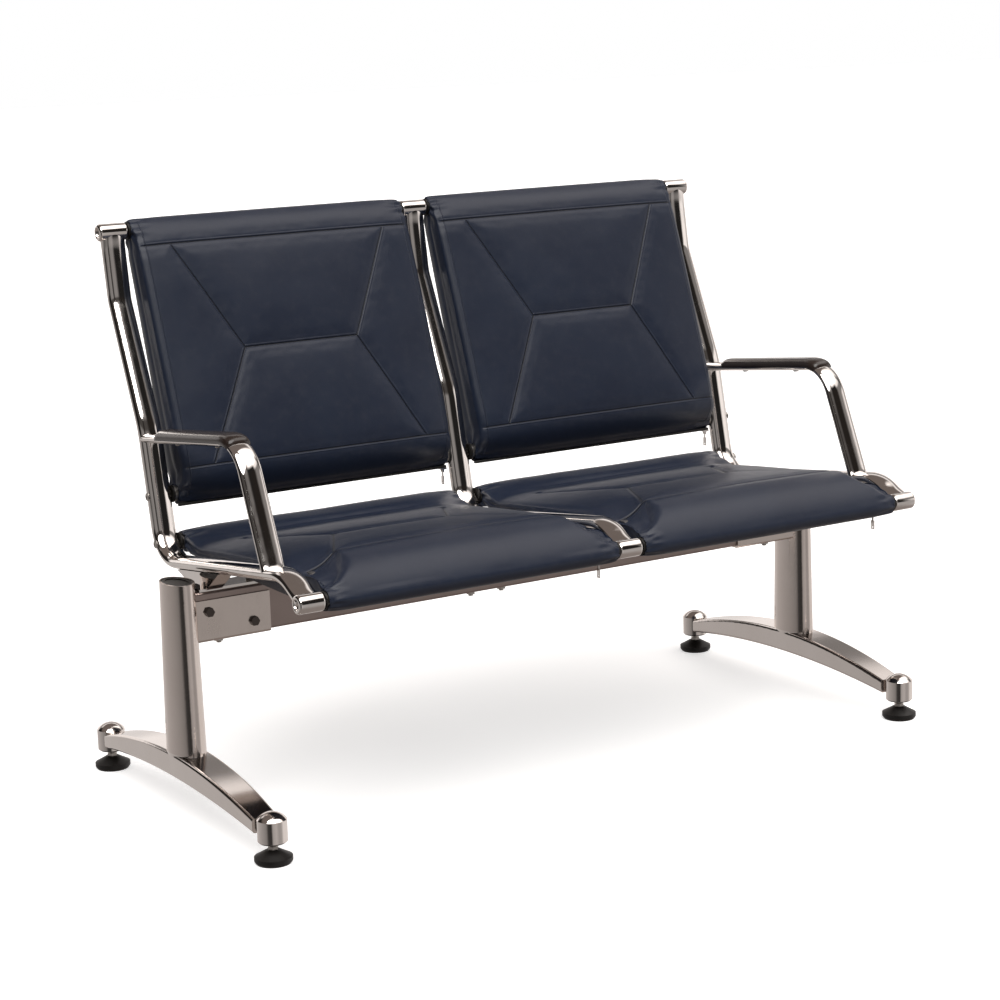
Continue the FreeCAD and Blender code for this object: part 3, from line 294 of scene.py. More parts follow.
def skin(name, upper, lower, upper_fall, lower_fall, across, to_space):
    """A closed cushion mesh. The falls are arrays, station by row, in metres."""
    upper_out, lower_out = normals_of(upper), -normals_of(lower)
    rows = len(upper)
    points, index = [], np.zeros((len(across), 2 * rows - 2), int)
    for s, x in enumerate(across):
        top = upper - upper_out * upper_fall[s][:, None]
        low = lower - lower_out * lower_fall[s][:, None]
        loop = np.concatenate([top, low[-2:0:-1]])
        for r, (first, second) in enumerate(loop):
            index[s, r] = len(points)
            points.append(to_space(x, first, second))
    faces = []
    count = 2 * rows - 2
    for s in range(len(across) - 1):
        for r in range(count):
            n = (r + 1) % count
            faces.append((index[s, r], index[s, n], index[s + 1, n], index[s + 1, r]))
    for s, sign in ((0, -1), (len(across) - 1, 1)):
        wall = []
        for r in range(1, rows - 1):
            a = np.array(points[index[s, r]])
            b = np.array(points[index[s, count - r]])
            line = [index[s, r]]
            thick = np.linalg.norm(b - a)
            for share, out in ((0.2, 0.9), (0.4, 0.8), (0.5, -0.3), (0.6, 0.8), (0.8, 0.9)):
                line.append(len(points))
                bulge = out * min(0.0018, thick * 0.08)
                points.append(tuple(a + (b - a) * share + np.array([sign * bulge, 0, 0])))
            line.append(index[s, count - r])
            wall.append(line)
        for first, second in zip(wall[:-1], wall[1:]):
            for c in range(len(first) - 1):
                quad = (first[c], second[c], second[c + 1], first[c + 1])
                faces.append(quad if sign < 0 else quad[::-1])
        for line, tip in ((wall[0], index[s, 0]), (wall[-1], index[s, rows - 1])):
            for c in range(len(line) - 1):
                tri = (line[c], line[c + 1], tip)
                turned = (line is wall[0]) == (sign < 0)
                faces.append(tri if turned else tri[::-1])
    mesh = bpy.data.meshes.new(name)
    mesh.from_pydata([tuple(p) for p in points], [], [tuple(int(i) for i in f) for f in faces])
    mesh.validate()
    piece = placed(name, mesh)
    face_outwards(piece)
    return piece


# %% [markdown]
# ## How far each place falls
# A seat's hourglass spreads out over the front, where its side panels are drawn in most. A back
# falls away evenly and flattens towards its tubes.


# %% The seat's falls
SEAT_SLOPE, SEAT_EDGE, SEAT_PINCH = 0.013, 0.013, 0.026
BACK_SLOPE, BACK_EDGE = 0.006, 0.013
FRONT_MARGIN = 0.012


def cover(name, upper, lower, half, rounding, fall_at, to_space):
    """A cover whose face falls by fall_at(x), one value for each row, at x across it."""
    places = stations(half, rounding)
    upper_fall = [fall_at(x) for x in np.abs(places)]
    lower_fall = [np.full(ROWS, UNDER_EDGE * round_edge(x, half, rounding))
                  for x in np.abs(places)]
    return skin(name, upper, lower, upper_fall, lower_fall, places, to_space)


def seat_skin(name, centre):
    """One seat cover."""
    between = 2 - seat_top_place
    front_part = 1 - np.clip(seat_top_place, 0, 1)
    widening = (seat_half - FRONT_MARGIN - WIDE) * smooth(front_part, 0.35, 0.95)
    seam_at = hourglass(between) + widening
    strength = np.where(between > 1, 1 - 0.88 * smooth(front_part, 0.05, 1.0),
                        0.35 + 0.65 * np.clip(between, 0, 1))
    strength = np.where(seat_top_place > 2, 0.35 - 0.23 * smooth(seat_top_place, 2.0, 3.0),
                        strength)
    share = smooth(between, 0.75, 1.05)

    def fall_at(x):
        linear = side_fall(x, seam_at, seat_half, SEAT_SLOPE, SEAT_EDGE, SEAT_ROUND)
        steep = np.clip((x - seam_at) / np.maximum(seat_half - seam_at, 1e-4), 0, 1)
        pinch = SEAT_PINCH * (1 - (1 - steep) ** 2.2)
        rise = crown(x, seat_half, SEAT_ROUND)
        return (linear * (1 - share) + pinch * share) * strength - rise * strength

    return cover(name, seat_top, seat_under, seat_half, SEAT_ROUND, fall_at,
                 lambda x, y, z: (centre + x, y, z))


seats = {side: seat_skin("seat_leather_" + side, x) for side, x in seat_centres.items()}
print("seat skin", len(seats["left"].data.vertices), "points")


# %% The back's falls
def back_skin(name, centre):
    """One back cover."""
    seam_at = hourglass(back_front_place - 2)
    strength = np.interp(back_front_place, range(6), [0.12, 0.3, 1.0, 0.6, 0.12, 0.12])

    def fall_at(x):
        fall = side_fall(x, seam_at, back_half, BACK_SLOPE, BACK_EDGE, BACK_ROUND)
        return (fall - crown(x, back_half, BACK_ROUND)) * strength

    def to_space(x, rise, stand):
        point = back_low + back_rise * rise + back_stand * stand
        return (centre + x, point.y, point.z)

    return cover(name, back_front, back_behind, back_half, BACK_ROUND, fall_at, to_space)


backs = {side: back_skin("back_leather_" + side, x) for side, x in seat_centres.items()}
print("back skin", len(backs["left"].data.vertices), "points")

# %% [markdown]
# ## Padding
# Foam pushes the leather out between the seams, and the seams hold it back. Blender's cloth
# does just that with pressure inside a closed skin: the points near a seam, on the rolls, on
# the sides and underneath are pinned, and the rest may rise by a few millimetres. The right
# covers have the left ones' shape, so they get the same swell.


# %% Distances to the seams
CROSS_SEAM_END = WIDE + 0.045


def seam_distance(across, along, half_gap):
    """The distance to the nearest sewn line. along is counted from the waist seam."""
    far = np.abs(along)
    run = np.array([WIDE - WAIST, half_gap])
    length = np.linalg.norm(run)
    share = np.clip(((across - WAIST) * run[0] + far * run[1]) / length ** 2, 0, 1)
    slanted = np.hypot(across - WAIST - run[0] * share, far - run[1] * share)
    crossing = np.hypot(far - half_gap, np.maximum(across - CROSS_SEAM_END, 0))
    waist = np.hypot(far, np.maximum(across - WAIST, 0))
    return np.minimum(np.minimum(slanted, crossing), waist)


def points_of(mesh, what="co"):
    """A mesh's points as an array, or with what="normal" their normals."""
    flat = np.zeros(len(mesh.vertices) * 3)
    mesh.vertices.foreach_get(what, flat)
    return flat.reshape(-1, 3)


def set_points(piece, points):
    """Moves the piece's points."""
    piece.data.vertices.foreach_set("co", points.ravel())
    piece.data.update()


ON_FACE = 0.010  # how high above the tubes a cushion's face begins
SEAT_MIDDLE = (SEAM_FRONT[0] + SEAM_REAR[0]) / 2
SEAT_GAP = (SEAM_REAR[0] - SEAM_FRONT[0]) / 2
BACK_MIDDLE = (LOW_SEAM[0] + HIGH_SEAM[0]) / 2
BACK_GAP = (HIGH_SEAM[0] - LOW_SEAM[0]) / 2


def seat_place(points, centre):
    """Where points are across and along a seat, and whether they are on its face."""
    across = points[:, 0] - centre
    below = np.interp(points[:, 1], [front[0], rear[0]], [front[1], rear[1]])
    return across, points[:, 1] - SEAT_MIDDLE, points[:, 2] > below + ON_FACE


def back_place(points, centre):
    """The same for a back."""
    across = points[:, 0] - centre
    offset = points - np.array(back_low)
    offset[:, 0] = 0
    rise = offset @ np.array(back_rise)
    stand = offset @ np.array(back_stand)
    return across, rise - BACK_MIDDLE, stand > ON_FACE


# %% Swell the covers
CLOTH = {"vertex_group_mass": "sewn", "quality": 3, "mass": 0.3, "tension_stiffness": 15,
         "compression_stiffness": 15, "bending_stiffness": 0.5, "use_pressure": True,
         "uniform_pressure_force": 4}
CLOTH_FRAMES = 20
SEAT_SWELL, BACK_SWELL = 0.003, 0.0022


def swell(piece, held, limit):
    """How cloth pressure would move a skin whose held points are pinned, by at most limit."""
    group = piece.vertex_groups.new(name="sewn")
    for weight in np.unique(held):
        if weight > 0:
            group.add([int(i) for i in np.flatnonzero(held == weight)], float(weight), "REPLACE")
    before = points_of(piece.data)
    cloth = piece.modifiers.new("leather", "CLOTH")
    for name, value in CLOTH.items():
        setattr(cloth.settings, name, value)
    cloth.settings.effector_weights.gravity = 0
    for number in range(1, CLOTH_FRAMES + 1):
        scene.frame_set(number)
    evaluated = piece.evaluated_get(bpy.context.evaluated_depsgraph_get())
    after = points_of(evaluated.to_mesh())
    evaluated.to_mesh_clear()
    piece.modifiers.remove(cloth)
    piece.vertex_groups.clear()
    scene.frame_set(1)
    rise = after - before
    size = np.linalg.norm(rise, axis=1)
    rise *= (np.minimum(size, limit) / np.maximum(size, 1e-9))[:, None]
    return rise


def hold(place, half, half_gap):
    """Pins for a skin: everything but the middles of the panels on its face."""
    across, along, on_face = place
    near = seam_distance(np.abs(across), along, half_gap)
    free = smooth(near, 0.004, 0.016) * smooth(half - np.abs(across), 0.006, 0.024)
    free = free * on_face
    return np.round(1 - free, 1)


for covers, place, half, gap, limit in (
        (seats, seat_place, seat_half, SEAT_GAP, SEAT_SWELL),
        (backs, back_place, back_half, BACK_GAP, BACK_SWELL)):
    start = place(points_of(covers["left"].data), seat_centres["left"])
    rise = swell(covers["left"], hold(start, half, gap), limit)
    for piece in covers.values():
        set_points(piece, points_of(piece.data) + rise)
    print("leather swelled by", round(float(np.linalg.norm(rise, axis=1).max()), 4))


# %% [markdown]
# ## Seams, gathers and slack
# The cloth has a point about every 6 mm. One subdivision makes it fine enough to press in what
# sewing does to leather: a soft valley along each seam with small puckers, pleats where the
# cover is gathered round a tube's end, and long shallow waves where it hangs a little slack.


# %% Press the sewing into a skin
SEAM_DEPTH, VALLEY_DEPTH, PUCKER_DEPTH, PLEAT_DEPTH = 0.0018, 0.0012, 0.0007, 0.0026
CREASE_DEPTH, CREASE_STEP = 0.0035, 0.0030
PLEAT_FOLDS = 9
LEAST_OVER_TUBE = 0.0148  # no leather comes nearer to a cross tube's axis


def subdivide(piece):
    """Replaces the mesh by its subdivided one."""
    modifier = piece.modifiers.new("fine", "SUBSURF")
    modifier.levels = 1
    evaluated = piece.evaluated_get(bpy.context.evaluated_depsgraph_get())
    fine = bpy.data.meshes.new_from_object(evaluated)
    piece.modifiers.remove(modifier)
    piece.data = fine
    smooth_faces(fine)


def waves(points, seed, size):
    """A smooth wandering value from -1 to 1, built from a few fixed sines."""
    turns = np.random.default_rng(seed)
    value = np.zeros(len(points))
    for _ in range(6):
        way = turns.normal(size=3)
        way = way / np.linalg.norm(way) * (2 * math.pi / (size * turns.uniform(0.7, 1.5)))
        value += np.sin(points @ way + turns.uniform(0, 2 * math.pi))
    return value / 6


def pleats(points, axes, centre, half, seed):
    """Radial folds round the tube ends: how far in each point goes, in metres."""
    across = np.abs(points[:, 0] - centre)
    sign = np.sign(points[:, 0] - centre)
    value = np.zeros(len(points))
    for number, axis in enumerate(axes):
        out = points[:, 1:] - np.array(axis)
        angle = np.arctan2(out[:, 1], out[:, 0])
        reach = np.hypot(out[:, 0], out[:, 1])
        near_axis = 1 - smooth(reach, ROLL * 1.15, ROLL * 2.4)
        near_end = 1 - smooth(half - across, 0.004, 0.042)
        shift = seed + number * 1.7 + sign * 0.9
        fold = np.sin(PLEAT_FOLDS * angle + shift)
        fold = fold + 0.6 * np.sin((PLEAT_FOLDS * 0.6 + 1) * angle + 2.1 * shift)
        value += near_axis * near_end * (0.5 + 0.5 * fold) * PLEAT_DEPTH
    return value


def nose_crease(across, depth):
    """The fold that runs from a front corner of the hourglass down the waterfall and hooks
    outwards to the end of the front tube: how far in each point goes."""
    down = (SEAM_FRONT[0] - depth) / (SEAM_FRONT[0] - front[0] + ROLL)
    line = WIDE + 0.022 * np.clip(down / 0.5, 0, 1) + 0.034 * smooth(down, 0.5, 0.95)
    shown = smooth(down, -0.04, 0.08) * (1 - 0.8 * smooth(down, 0.6, 0.95))
    fold = np.exp(-((across - line) / 0.006) ** 2) * CREASE_DEPTH
    beyond = smooth(across - line, 0.0, 0.014) * CREASE_STEP
    return (fold + beyond) * shown


def relief(piece, place, half, half_gap, axes, centre, seed):
    """Presses seams, puckers, pleats and slack into a skin."""
    points = points_of(piece.data)
    normals = points_of(piece.data, "normal")
    across, along, on_face = place(points, centre)
    near = seam_distance(np.abs(across), along, half_gap)
    near = near + 0.0007 * waves(points, seed, 0.05)
    valley = np.exp(-(near / 0.0042) ** 2) * SEAM_DEPTH
    valley = valley + np.exp(-(near / 0.013) ** 2) * VALLEY_DEPTH
    beside = np.exp(-((near - 0.010) / 0.007) ** 2)
    pucker = beside * (0.5 + 0.5 * waves(points, seed + 1, 0.018)) * PUCKER_DEPTH
    slack = 0.0009 * waves(points, seed + 2, 0.16) + 0.0004 * waves(points, seed + 3, 0.06)
    inward = (valley + pucker) * on_face + pleats(points, axes, centre, half, seed)
    fade = smooth(half - np.abs(across), 0.002, 0.02)
    inward = inward + slack * fade * on_face
    if place is seat_place:
        on_nose = points[:, 2] > front[1] - 0.004
        inward = inward + nose_crease(np.abs(across), points[:, 1]) * on_nose
    moved = points - normals * inward[:, None]
    for axis in axes:
        out = moved[:, 1:] - np.array(axis)
        reach = np.maximum(np.linalg.norm(out, axis=1), 1e-6)
        moved[:, 1:] += out * (np.maximum(LEAST_OVER_TUBE - reach, 0) / reach)[:, None]
    set_points(piece, moved)


back_axes = [(back_low.y, back_low.z), (back_high.y, back_high.z)]
for number, (side, centre) in enumerate(seat_centres.items()):
    for piece in (seats[side], backs[side]):
        subdivide(piece)
    relief(seats[side], seat_place, seat_half, SEAT_GAP, [front, rear], centre, 10 + number)
    relief(backs[side], back_place, back_half, BACK_GAP, back_axes, centre, 20 + number)
print("fine seat skin", len(seats["left"].data.vertices), "points")

for side in seat_centres:
    for piece, node in ((seats[side], "seat_cushion_" + side),
                        (backs[side], "back_cushion_" + side)):
        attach(piece, "bench")
        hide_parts(node)


# %% [markdown]
# ## Bent tubes
# The frames and arms are round-sided oval tube, bent to a path. The path is straight runs
# joined by arcs; an oval is set square to it every few millimetres. Near a weld the oval
# swells, as the bead and the flattened end do on the real frame.


# %% Paths and tubes
def bent(corners, radii, step=0.004):
    """Points along straight runs joined by arcs, each corner a (depth, height) pair."""
    corners = [np.array(c, float) for c in corners]
    line = [corners[0]]
    for before, corner, after, radius in zip(corners[:-2], corners[1:-1], corners[2:], radii):
        back = (before - corner) / np.linalg.norm(before - corner)
        onward = (after - corner) / np.linalg.norm(after - corner)
        half_angle = math.acos(float(np.clip(back @ onward, -1, 1))) / 2
        reach = radius / math.tan(half_angle)
        middle_way = (back + onward) / np.linalg.norm(back + onward)
        hub = corner + middle_way * radius / math.sin(half_angle)
        first, last = corner + back * reach - hub, corner + onward * reach - hub
        sweep = math.atan2(first[0] * last[1] - first[1] * last[0], float(first @ last))
        count = max(4, int(abs(sweep) * radius / step))
        for share in np.linspace(0, 1, count):
            turned = sweep * share
            line.append(hub + np.array([first[0] * math.cos(turned) - first[1] * math.sin(turned),
                                        first[0] * math.sin(turned) + first[1] * math.cos(turned)]))
    line.append(corners[-1])
    points = [line[0]]
    for first, second in zip(line[:-1], line[1:]):
        count = max(1, int(np.linalg.norm(second - first) / step))
        points += [first + (second - first) * (n + 1) / count for n in range(count)]
    return np.array(points)


def loft(name, rings):
    """A closed mesh through rings of points, all with the same count."""
    rings = np.array(rings)
    count, around = rings.shape[:2]
    index = np.arange(count * around).reshape(count, around)
    faces = []
    for first, second in zip(index[:-1], index[1:]):
        for n in range(around):
            m = (n + 1) % around
            faces.append((int(first[n]), int(first[m]), int(second[m]), int(second[n])))
    faces.append(tuple(int(i) for i in index[0][::-1]))
    faces.append(tuple(int(i) for i in index[-1]))
    mesh = bpy.data.meshes.new(name)
    mesh.from_pydata(rings.reshape(-1, 3).tolist(), [], faces)
    piece = placed(name, mesh)
    face_outwards(piece)
    return piece


def oval_tube(name, x, line, half_width, half_height, flare_start, flare_end):
    """An oval tube along a line in the plane at x. A flare is (reach, extra half height)."""
    run = lengths_along(line)
    angles = np.linspace(0, 2 * math.pi, 44, endpoint=False)
    wide, high = np.cos(angles), np.sin(angles)
    rings = []
    for point, square, at in zip(line, normals_of(line), run):
        extra = flare_start[1] * (1 - float(smooth(np.float64(at), 0, flare_start[0])))
        extra += flare_end[1] * (1 - float(smooth(np.float64(run[-1] - at), 0, flare_end[0])))
        spread = point + square * (high * (half_height + extra))[:, None]
        rings.append(np.column_stack([x + wide * (half_width + extra * 0.25), spread]))
    return loft(name, rings)


# %% Frames and arms
FRAME_CORNERS = [(-0.3165, 0.384), (-0.2615, 0.414), (0.1485, 0.364), (0.1895, 0.566),
                 (0.2735, 0.758), (0.2895, 0.862)]
FRAME_RADII = [0.080, 0.055, 0.160, 0.060]
FRAME_SECTION = (0.0195, 0.0106)  # half width, half height
FRAME_FLARES = ((0.030, 0.0026), (0.034, 0.0020))
ARM_CORNERS = [(0.1850, 0.5512), (-0.1365, 0.586), (-0.2125, 0.4080)]
ARM_RADII = [0.060]
ARM_SECTION = (0.019, 0.0077)
ARM_FLARES = ((0.010, 0.0012), (0.010, 0.0016))
FRAME_PITCH = 0.540

frame_line = bent(FRAME_CORNERS, FRAME_RADII)
arm_line = bent(ARM_CORNERS, ARM_RADII)
frame_places = {"left": -FRAME_PITCH, "centre": 0.0, "right": FRAME_PITCH}
made = []


def stands_for(piece, finish_name, *nodes):
    """Notes a new piece's finish, lets it ride on the bench and hides what it stands for."""
    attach(piece, "bench")
    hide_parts(*nodes)
    made.append((piece, finish_name))


for side, x in frame_places.items():
    post = oval_tube("post_and_rail_" + side, x, frame_line, *FRAME_SECTION, *FRAME_FLARES)
    stands_for(post, "chrome", "side_frame_" + side)
for side in ("left", "right"):
    arm = oval_tube("arm_tube_" + side, frame_places[side], arm_line, *ARM_SECTION, *ARM_FLARES)
    stands_for(arm, "chrome", "armrest_" + side)
print("tubes", len(made), "frame run", round(float(lengths_along(frame_line)[-1]), 3), "m")

# %% [markdown]
# ## Arm pads
# Each pad is a moulding that sits over the top of the arm and follows it a little way round
# the bend. Its outline is half an oval that shrinks towards both ends.


# %% Mould the pads
PAD_REAR = 0.1355  # where along the arm's depth a pad begins
PAD_RUN = 0.262
PAD_END = 0.014


def arm_pad(name, x):
    """A crowned pad on the arm's top run, with rounded ends."""
    run = lengths_along(arm_line)
    start = float(np.interp(-PAD_REAR, -arm_line[:, 0], run))
    stop = start + PAD_RUN
    inside = np.linspace(start, stop, 72)
    line = points_at(inside, run, arm_line)
    angles = np.radians(np.linspace(0, 180, 25))
    rings = []
    for point, square, at in zip(line, -normals_of(line), inside):
        end = min(at - start, stop - at)
        round_end = math.sqrt(1 - (1 - min(end / PAD_END, 1)) ** 2)
        half = 0.0150 + 0.0062 * round_end
        top = 0.0060 + 0.0092 * round_end
        outer = np.stack([np.sign(np.cos(angles)) * np.abs(np.cos(angles)) ** 0.75 * half,
                          np.sin(angles) ** 0.8 * top - 0.0008], axis=1)
        inner = np.column_stack([np.linspace(-half + 0.003, half - 0.003, 9), np.full(9, 0.0005)])
        section = np.concatenate([outer, inner])
        rings.append(np.column_stack([x + section[:, 0], point + square * section[:, 1:]]))
    return loft(name, rings)


for side in ("left", "right"):
    stands_for(arm_pad("pad_" + side, frame_places[side]), "arm_pad", "arm_pad_" + side)
print("pads follow", round(PAD_RUN * 1000), "mm of the arm")

# %% [markdown]
# ## Knuckles and bolts
# A knuckle is turned: its outline is spun round the tube's axis. The edges are well rounded,
# as polished and plated parts are, and the outer end is bored for a bolt head.


# %% Turned pieces
CORE = 0.0001  # the smallest ring, which closes an end round its axis
KNUCKLE_EDGE = 0.0045
BORE_DEPTH, BORE_RADIUS = 0.0075, 0.0075


def turned(name, axis_point, outline, sides=56):
    """Spins an outline of (along x, radius) pairs round an axis that runs along the beam."""
    angles = np.linspace(0, 2 * math.pi, sides, endpoint=False)
    x, y, z = axis_point
    rings = [[(x + along, y + radius * math.cos(a), z + radius * math.sin(a)) for a in angles]
             for along, radius in outline]
    return loft(name, rings)


def rounded_end(half, radius, edge, sign):
    """The rounded rim at one end of a knuckle, from the face to the barrel."""
    turns = np.radians(np.linspace(0, 90, 9))
    return [(sign * (half - edge + edge * math.cos(t)), radius - edge + edge * math.sin(t))
            for t in turns]


def knuckle_outline(half, radius, edge, bored):
    """A knuckle's outline from its bored or plain outer end to its other end."""
    outer = rounded_end(half, radius, edge, 1)
    if bored:
        start = [(half - BORE_DEPTH, CORE), (half - BORE_DEPTH, BORE_RADIUS),
                 (half - 0.0010, 0.0078), (half, 0.0088)]
    else:
        start = [(half, CORE)]
    return start + outer + rounded_end(half, radius, edge, -1)[::-1] + [(-half, CORE)]


def joined(name, pieces):
    """Joins pieces into one object."""
    work = bmesh.new()
    for piece in pieces:
        work.from_mesh(piece.data)
    mesh = bpy.data.meshes.new(name)
    work.to_mesh(mesh)
    work.free()
    for piece in pieces:
        bpy.data.objects.remove(piece)
    smooth_faces(mesh)
    return placed(name, mesh)


def button(name, x, sign, depth, height, radius, rise):
    """A low domed bolt head with a round recess, on a face at x that looks to sign."""
    floor_of_recess, rim = sign * rise * 0.35, sign * rise * 0.98
    outline = [(floor_of_recess, CORE), (floor_of_recess, radius * 0.38), (rim, radius * 0.42)]
    for t in np.radians(np.linspace(25, 90, 8)):
        outline.append((sign * rise * math.cos(t - math.radians(25)) * 0.98, radius * math.sin(t)))
    outline.append((-sign * 0.001, radius))
    return turned(name, (x, depth, height), outline, 48)


# %% Knuckles and bolt heads
ends = {"front": (front, 0.021, 0.014), "top": ((back_high.y, back_high.z), 0.024, 0.0135)}
bolts = []
for end, (axis, half, radius) in ends.items():
    barrels = []
    for side, x in frame_places.items():
        sign = -1 if side == "left" else 1
        plain = knuckle_outline(half, radius, KNUCKLE_EDGE, side != "centre")
        outline = [(sign * along, ring) for along, ring in plain]
        barrels.append(turned("barrel", (x, axis[0], axis[1]), outline))
        if side != "centre":
            inner_face = x + sign * (half - 0.0076)
            bolts.append(button("bolt", inner_face, sign, axis[0], axis[1], 0.0068, 0.0040))
    stands_for(joined(end + "_barrels", barrels), "chrome", end + "_knuckles")
for axis in ((seat_rear.y, seat_rear.z), (back_low.y, back_low.z)):
    for side in ("left", "right"):
        sign = -1 if side == "left" else 1
        outer_face = frame_places[side] + sign * 0.0192
        bolts.append(button("bolt", outer_face, sign, axis[0], axis[1], 0.0062, 0.0016))
stands_for(joined("bolt_heads", bolts), "inner_steel", "tube_bolts")
print("bolt heads", len(bolts))

# %% [markdown]
# ## Zips
# Each cover closes with a zip along its lower edge. A strip rises into the leather, and small
# teeth stand on its underside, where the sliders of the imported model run.


# %% Zips
TOOTH_PITCH = 0.0026
TAPE = ((-0.003, 0.0), (-0.0026, -0.0001), (0.0026, -0.0001), (0.003, 0.0), (0.0028, 0.0042),
        (-0.0028, 0.0042))
TOOTH = ((-1, 0.0004), (-0.7, -0.00034), (0.7, -0.00034), (1, 0.0004))


def zip_strip(x, half, depth, under):
    """One zip: a tape that rises into the cover and a row of teeth on its underside."""
    rings = []
    for place in np.linspace(-half, half, 3):
        rings.append([(x + place, depth + y, under + z) for y, z in TAPE])
    strips = [loft("tape", rings)]
    for number, place in enumerate(np.arange(-half + 0.002, half - 0.002, TOOTH_PITCH)):
        shift = 0.0005 if number % 2 else -0.0005
        tooth = [[(x + place + dx, depth + shift + y * 0.0011, under + z) for y, z in TOOTH]
                 for dx in (-0.0008, 0.0008)]
        strips.append(loft("tooth", tooth))
    return joined("zip", strips)


zips = []
for kind, half in (("seat", seat_half), ("back", back_half)):
    for side, x in seat_centres.items():
        low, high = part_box("zip_slider_%s_%s" % (kind, side))
        zips.append(zip_strip(x, half - 0.001, (low.y + high.y) / 2, high.z - 0.0007))
stands_for(joined("zip_rows", zips), "black_plastic", "zip_tapes")
print("new metal pieces", len(made))

# %% [markdown]
# ## Shader sums
# A finish is a small set of sums: how near a point is to a seam, how rough it is there, how
# dark. Written out as nodes one by one they are hard to read, so one class wraps a node's
# output and turns Python's operators into Math nodes.


# %% A wire and a finish
class Wire:
    """One output of a node. Sums on it add the Math nodes that work them out."""

    def __init__(self, finish, socket):
        self.finish = finish
        self.socket = socket

    def __add__(self, other):
        return self.finish.math("ADD", self, other)

    __radd__ = __add__

    def __sub__(self, other):
        return self.finish.math("SUBTRACT", self, other)

    def __mul__(self, other):
        return self.finish.math("MULTIPLY", self, other)

    __rmul__ = __mul__

    def __truediv__(self, other):
        return self.finish.math("DIVIDE", self, other)

    def __abs__(self):
        return self.finish.math("ABSOLUTE", self)


class Finish:
    """A node tree for a material or the world, and the one way in which its nodes are added."""

    def __init__(self, name, owner=None):
        self.owner = owner or bpy.data.materials.new(name)
        self.owner.use_nodes = True
        self.tree = self.owner.node_tree
        self.tree.nodes.clear()

    def add(self, kind, settings=None, inputs=None, output=0):
        """Adds a node: its settings first, then the values or wires of its sockets."""
        node = self.tree.nodes.new("ShaderNode" + kind)
        for name, value in (settings or {}).items():
            if name == "stops":
                ramp = node.color_ramp
                while len(ramp.elements) < len(value):
                    ramp.elements.new(1.0)
                for element, (place, shade) in zip(ramp.elements, value):
                    element.position = place
                    element.color = shade if isinstance(shade, tuple) else (shade, shade, shade, 1)
            else:
                setattr(node, name, value)
        for name, value in (inputs or {}).items():
            if isinstance(value, Wire):
                self.tree.links.new(value.socket, node.inputs[name])
            else:
                node.inputs[name].default_value = value
        return Wire(self, node.outputs[output])

    def math(self, operation, *values):
        """One Math node."""
        return self.add("Math", {"operation": operation}, dict(enumerate(values)))

    def vector(self, operation, first, second, output=0):
        """One Vector Math node."""
        return self.add("VectorMath", {"operation": operation},
                        {0: first, 1: second}, output)

    def place(self):
        """The point on the piece, in metres."""
        return self.add("TexCoord", output="Object")

    def parts(self, vector):
        """The three numbers of a vector."""
        split = self.add("SeparateXYZ", None, {0: vector}).socket.node
        return [Wire(self, socket) for socket in split.outputs]

    def step(self, value, low, high, start=0.0, end=1.0):
        """A soft step from start to end while value goes from low to high."""
        return self.add("MapRange", {"interpolation_type": "SMOOTHSTEP"},
                        {"Value": value, "From Min": low, "From Max": high,
                         "To Min": start, "To Max": end})

    def noise(self, where, scale, detail=3.0, roughness=0.5, stretch=(1, 1, 1)):
        """Cloudy noise from 0 to 1; stretch squeezes it along an axis."""
        if stretch != (1, 1, 1):
            where = self.vector("MULTIPLY", where, stretch)
        return self.add("TexNoise", {"noise_dimensions": "3D"},
                        {"Vector": where, "Scale": scale, "Detail": detail, "Roughness": roughness})

    def cells(self, where, scale):
        """Cell pattern, as of leather grain."""
        return self.add("TexVoronoi", {"feature": "DISTANCE_TO_EDGE"},
                        {"Vector": where, "Scale": scale}, "Distance")

    def blend(self, share, first, second):
        """A colour between two colours."""
        return self.add("Mix", {"data_type": "RGBA"}, {0: share, 6: first, 7: second}, 2)

    def bump(self, height):
        """Turns a height in metres into a normal."""
        inputs = {"Height": height, "Distance": 1.0, "Strength": 1.0}
        return self.add("Bump", None, inputs, "Normal")

    def surface(self, **inputs):
        """The glossy surface that ends a material. Underscores stand for spaces."""
        named = {name.replace("_", " "): value for name, value in inputs.items()}
        shader = self.add("BsdfPrincipled", None, named)
        self.add_output(shader)
        return self.owner

    def add_output(self, shader):
        """Wires a shader to the tree's output."""
        kind = "World" if isinstance(self.owner, bpy.types.World) else "Material"
        node = self.tree.nodes.new("ShaderNodeOutput" + kind)
        self.tree.links.new(shader.socket, node.inputs["Surface"])


# %% [markdown]
# ## Leather
# Smooth navy leather: a fine pebble grain, slow changes of tone, a soft sheen that turns grey
# where it faces the light, and at each seam a pressed line with a raised lip beside it, the line
# darkened in the colour as painted shade.
# The seams are worked out from the place on the cover, so they stay sharp at any mesh size.


# %% Leather
GROOVE_DEPTH, LIP_HEIGHT, RIDGE_HEIGHT = 0.0011, 0.0006, 0.0007
BACK_GROOVE_WIDTH, SEAT_GROOVE_WIDTH = 0.0016, 0.0030


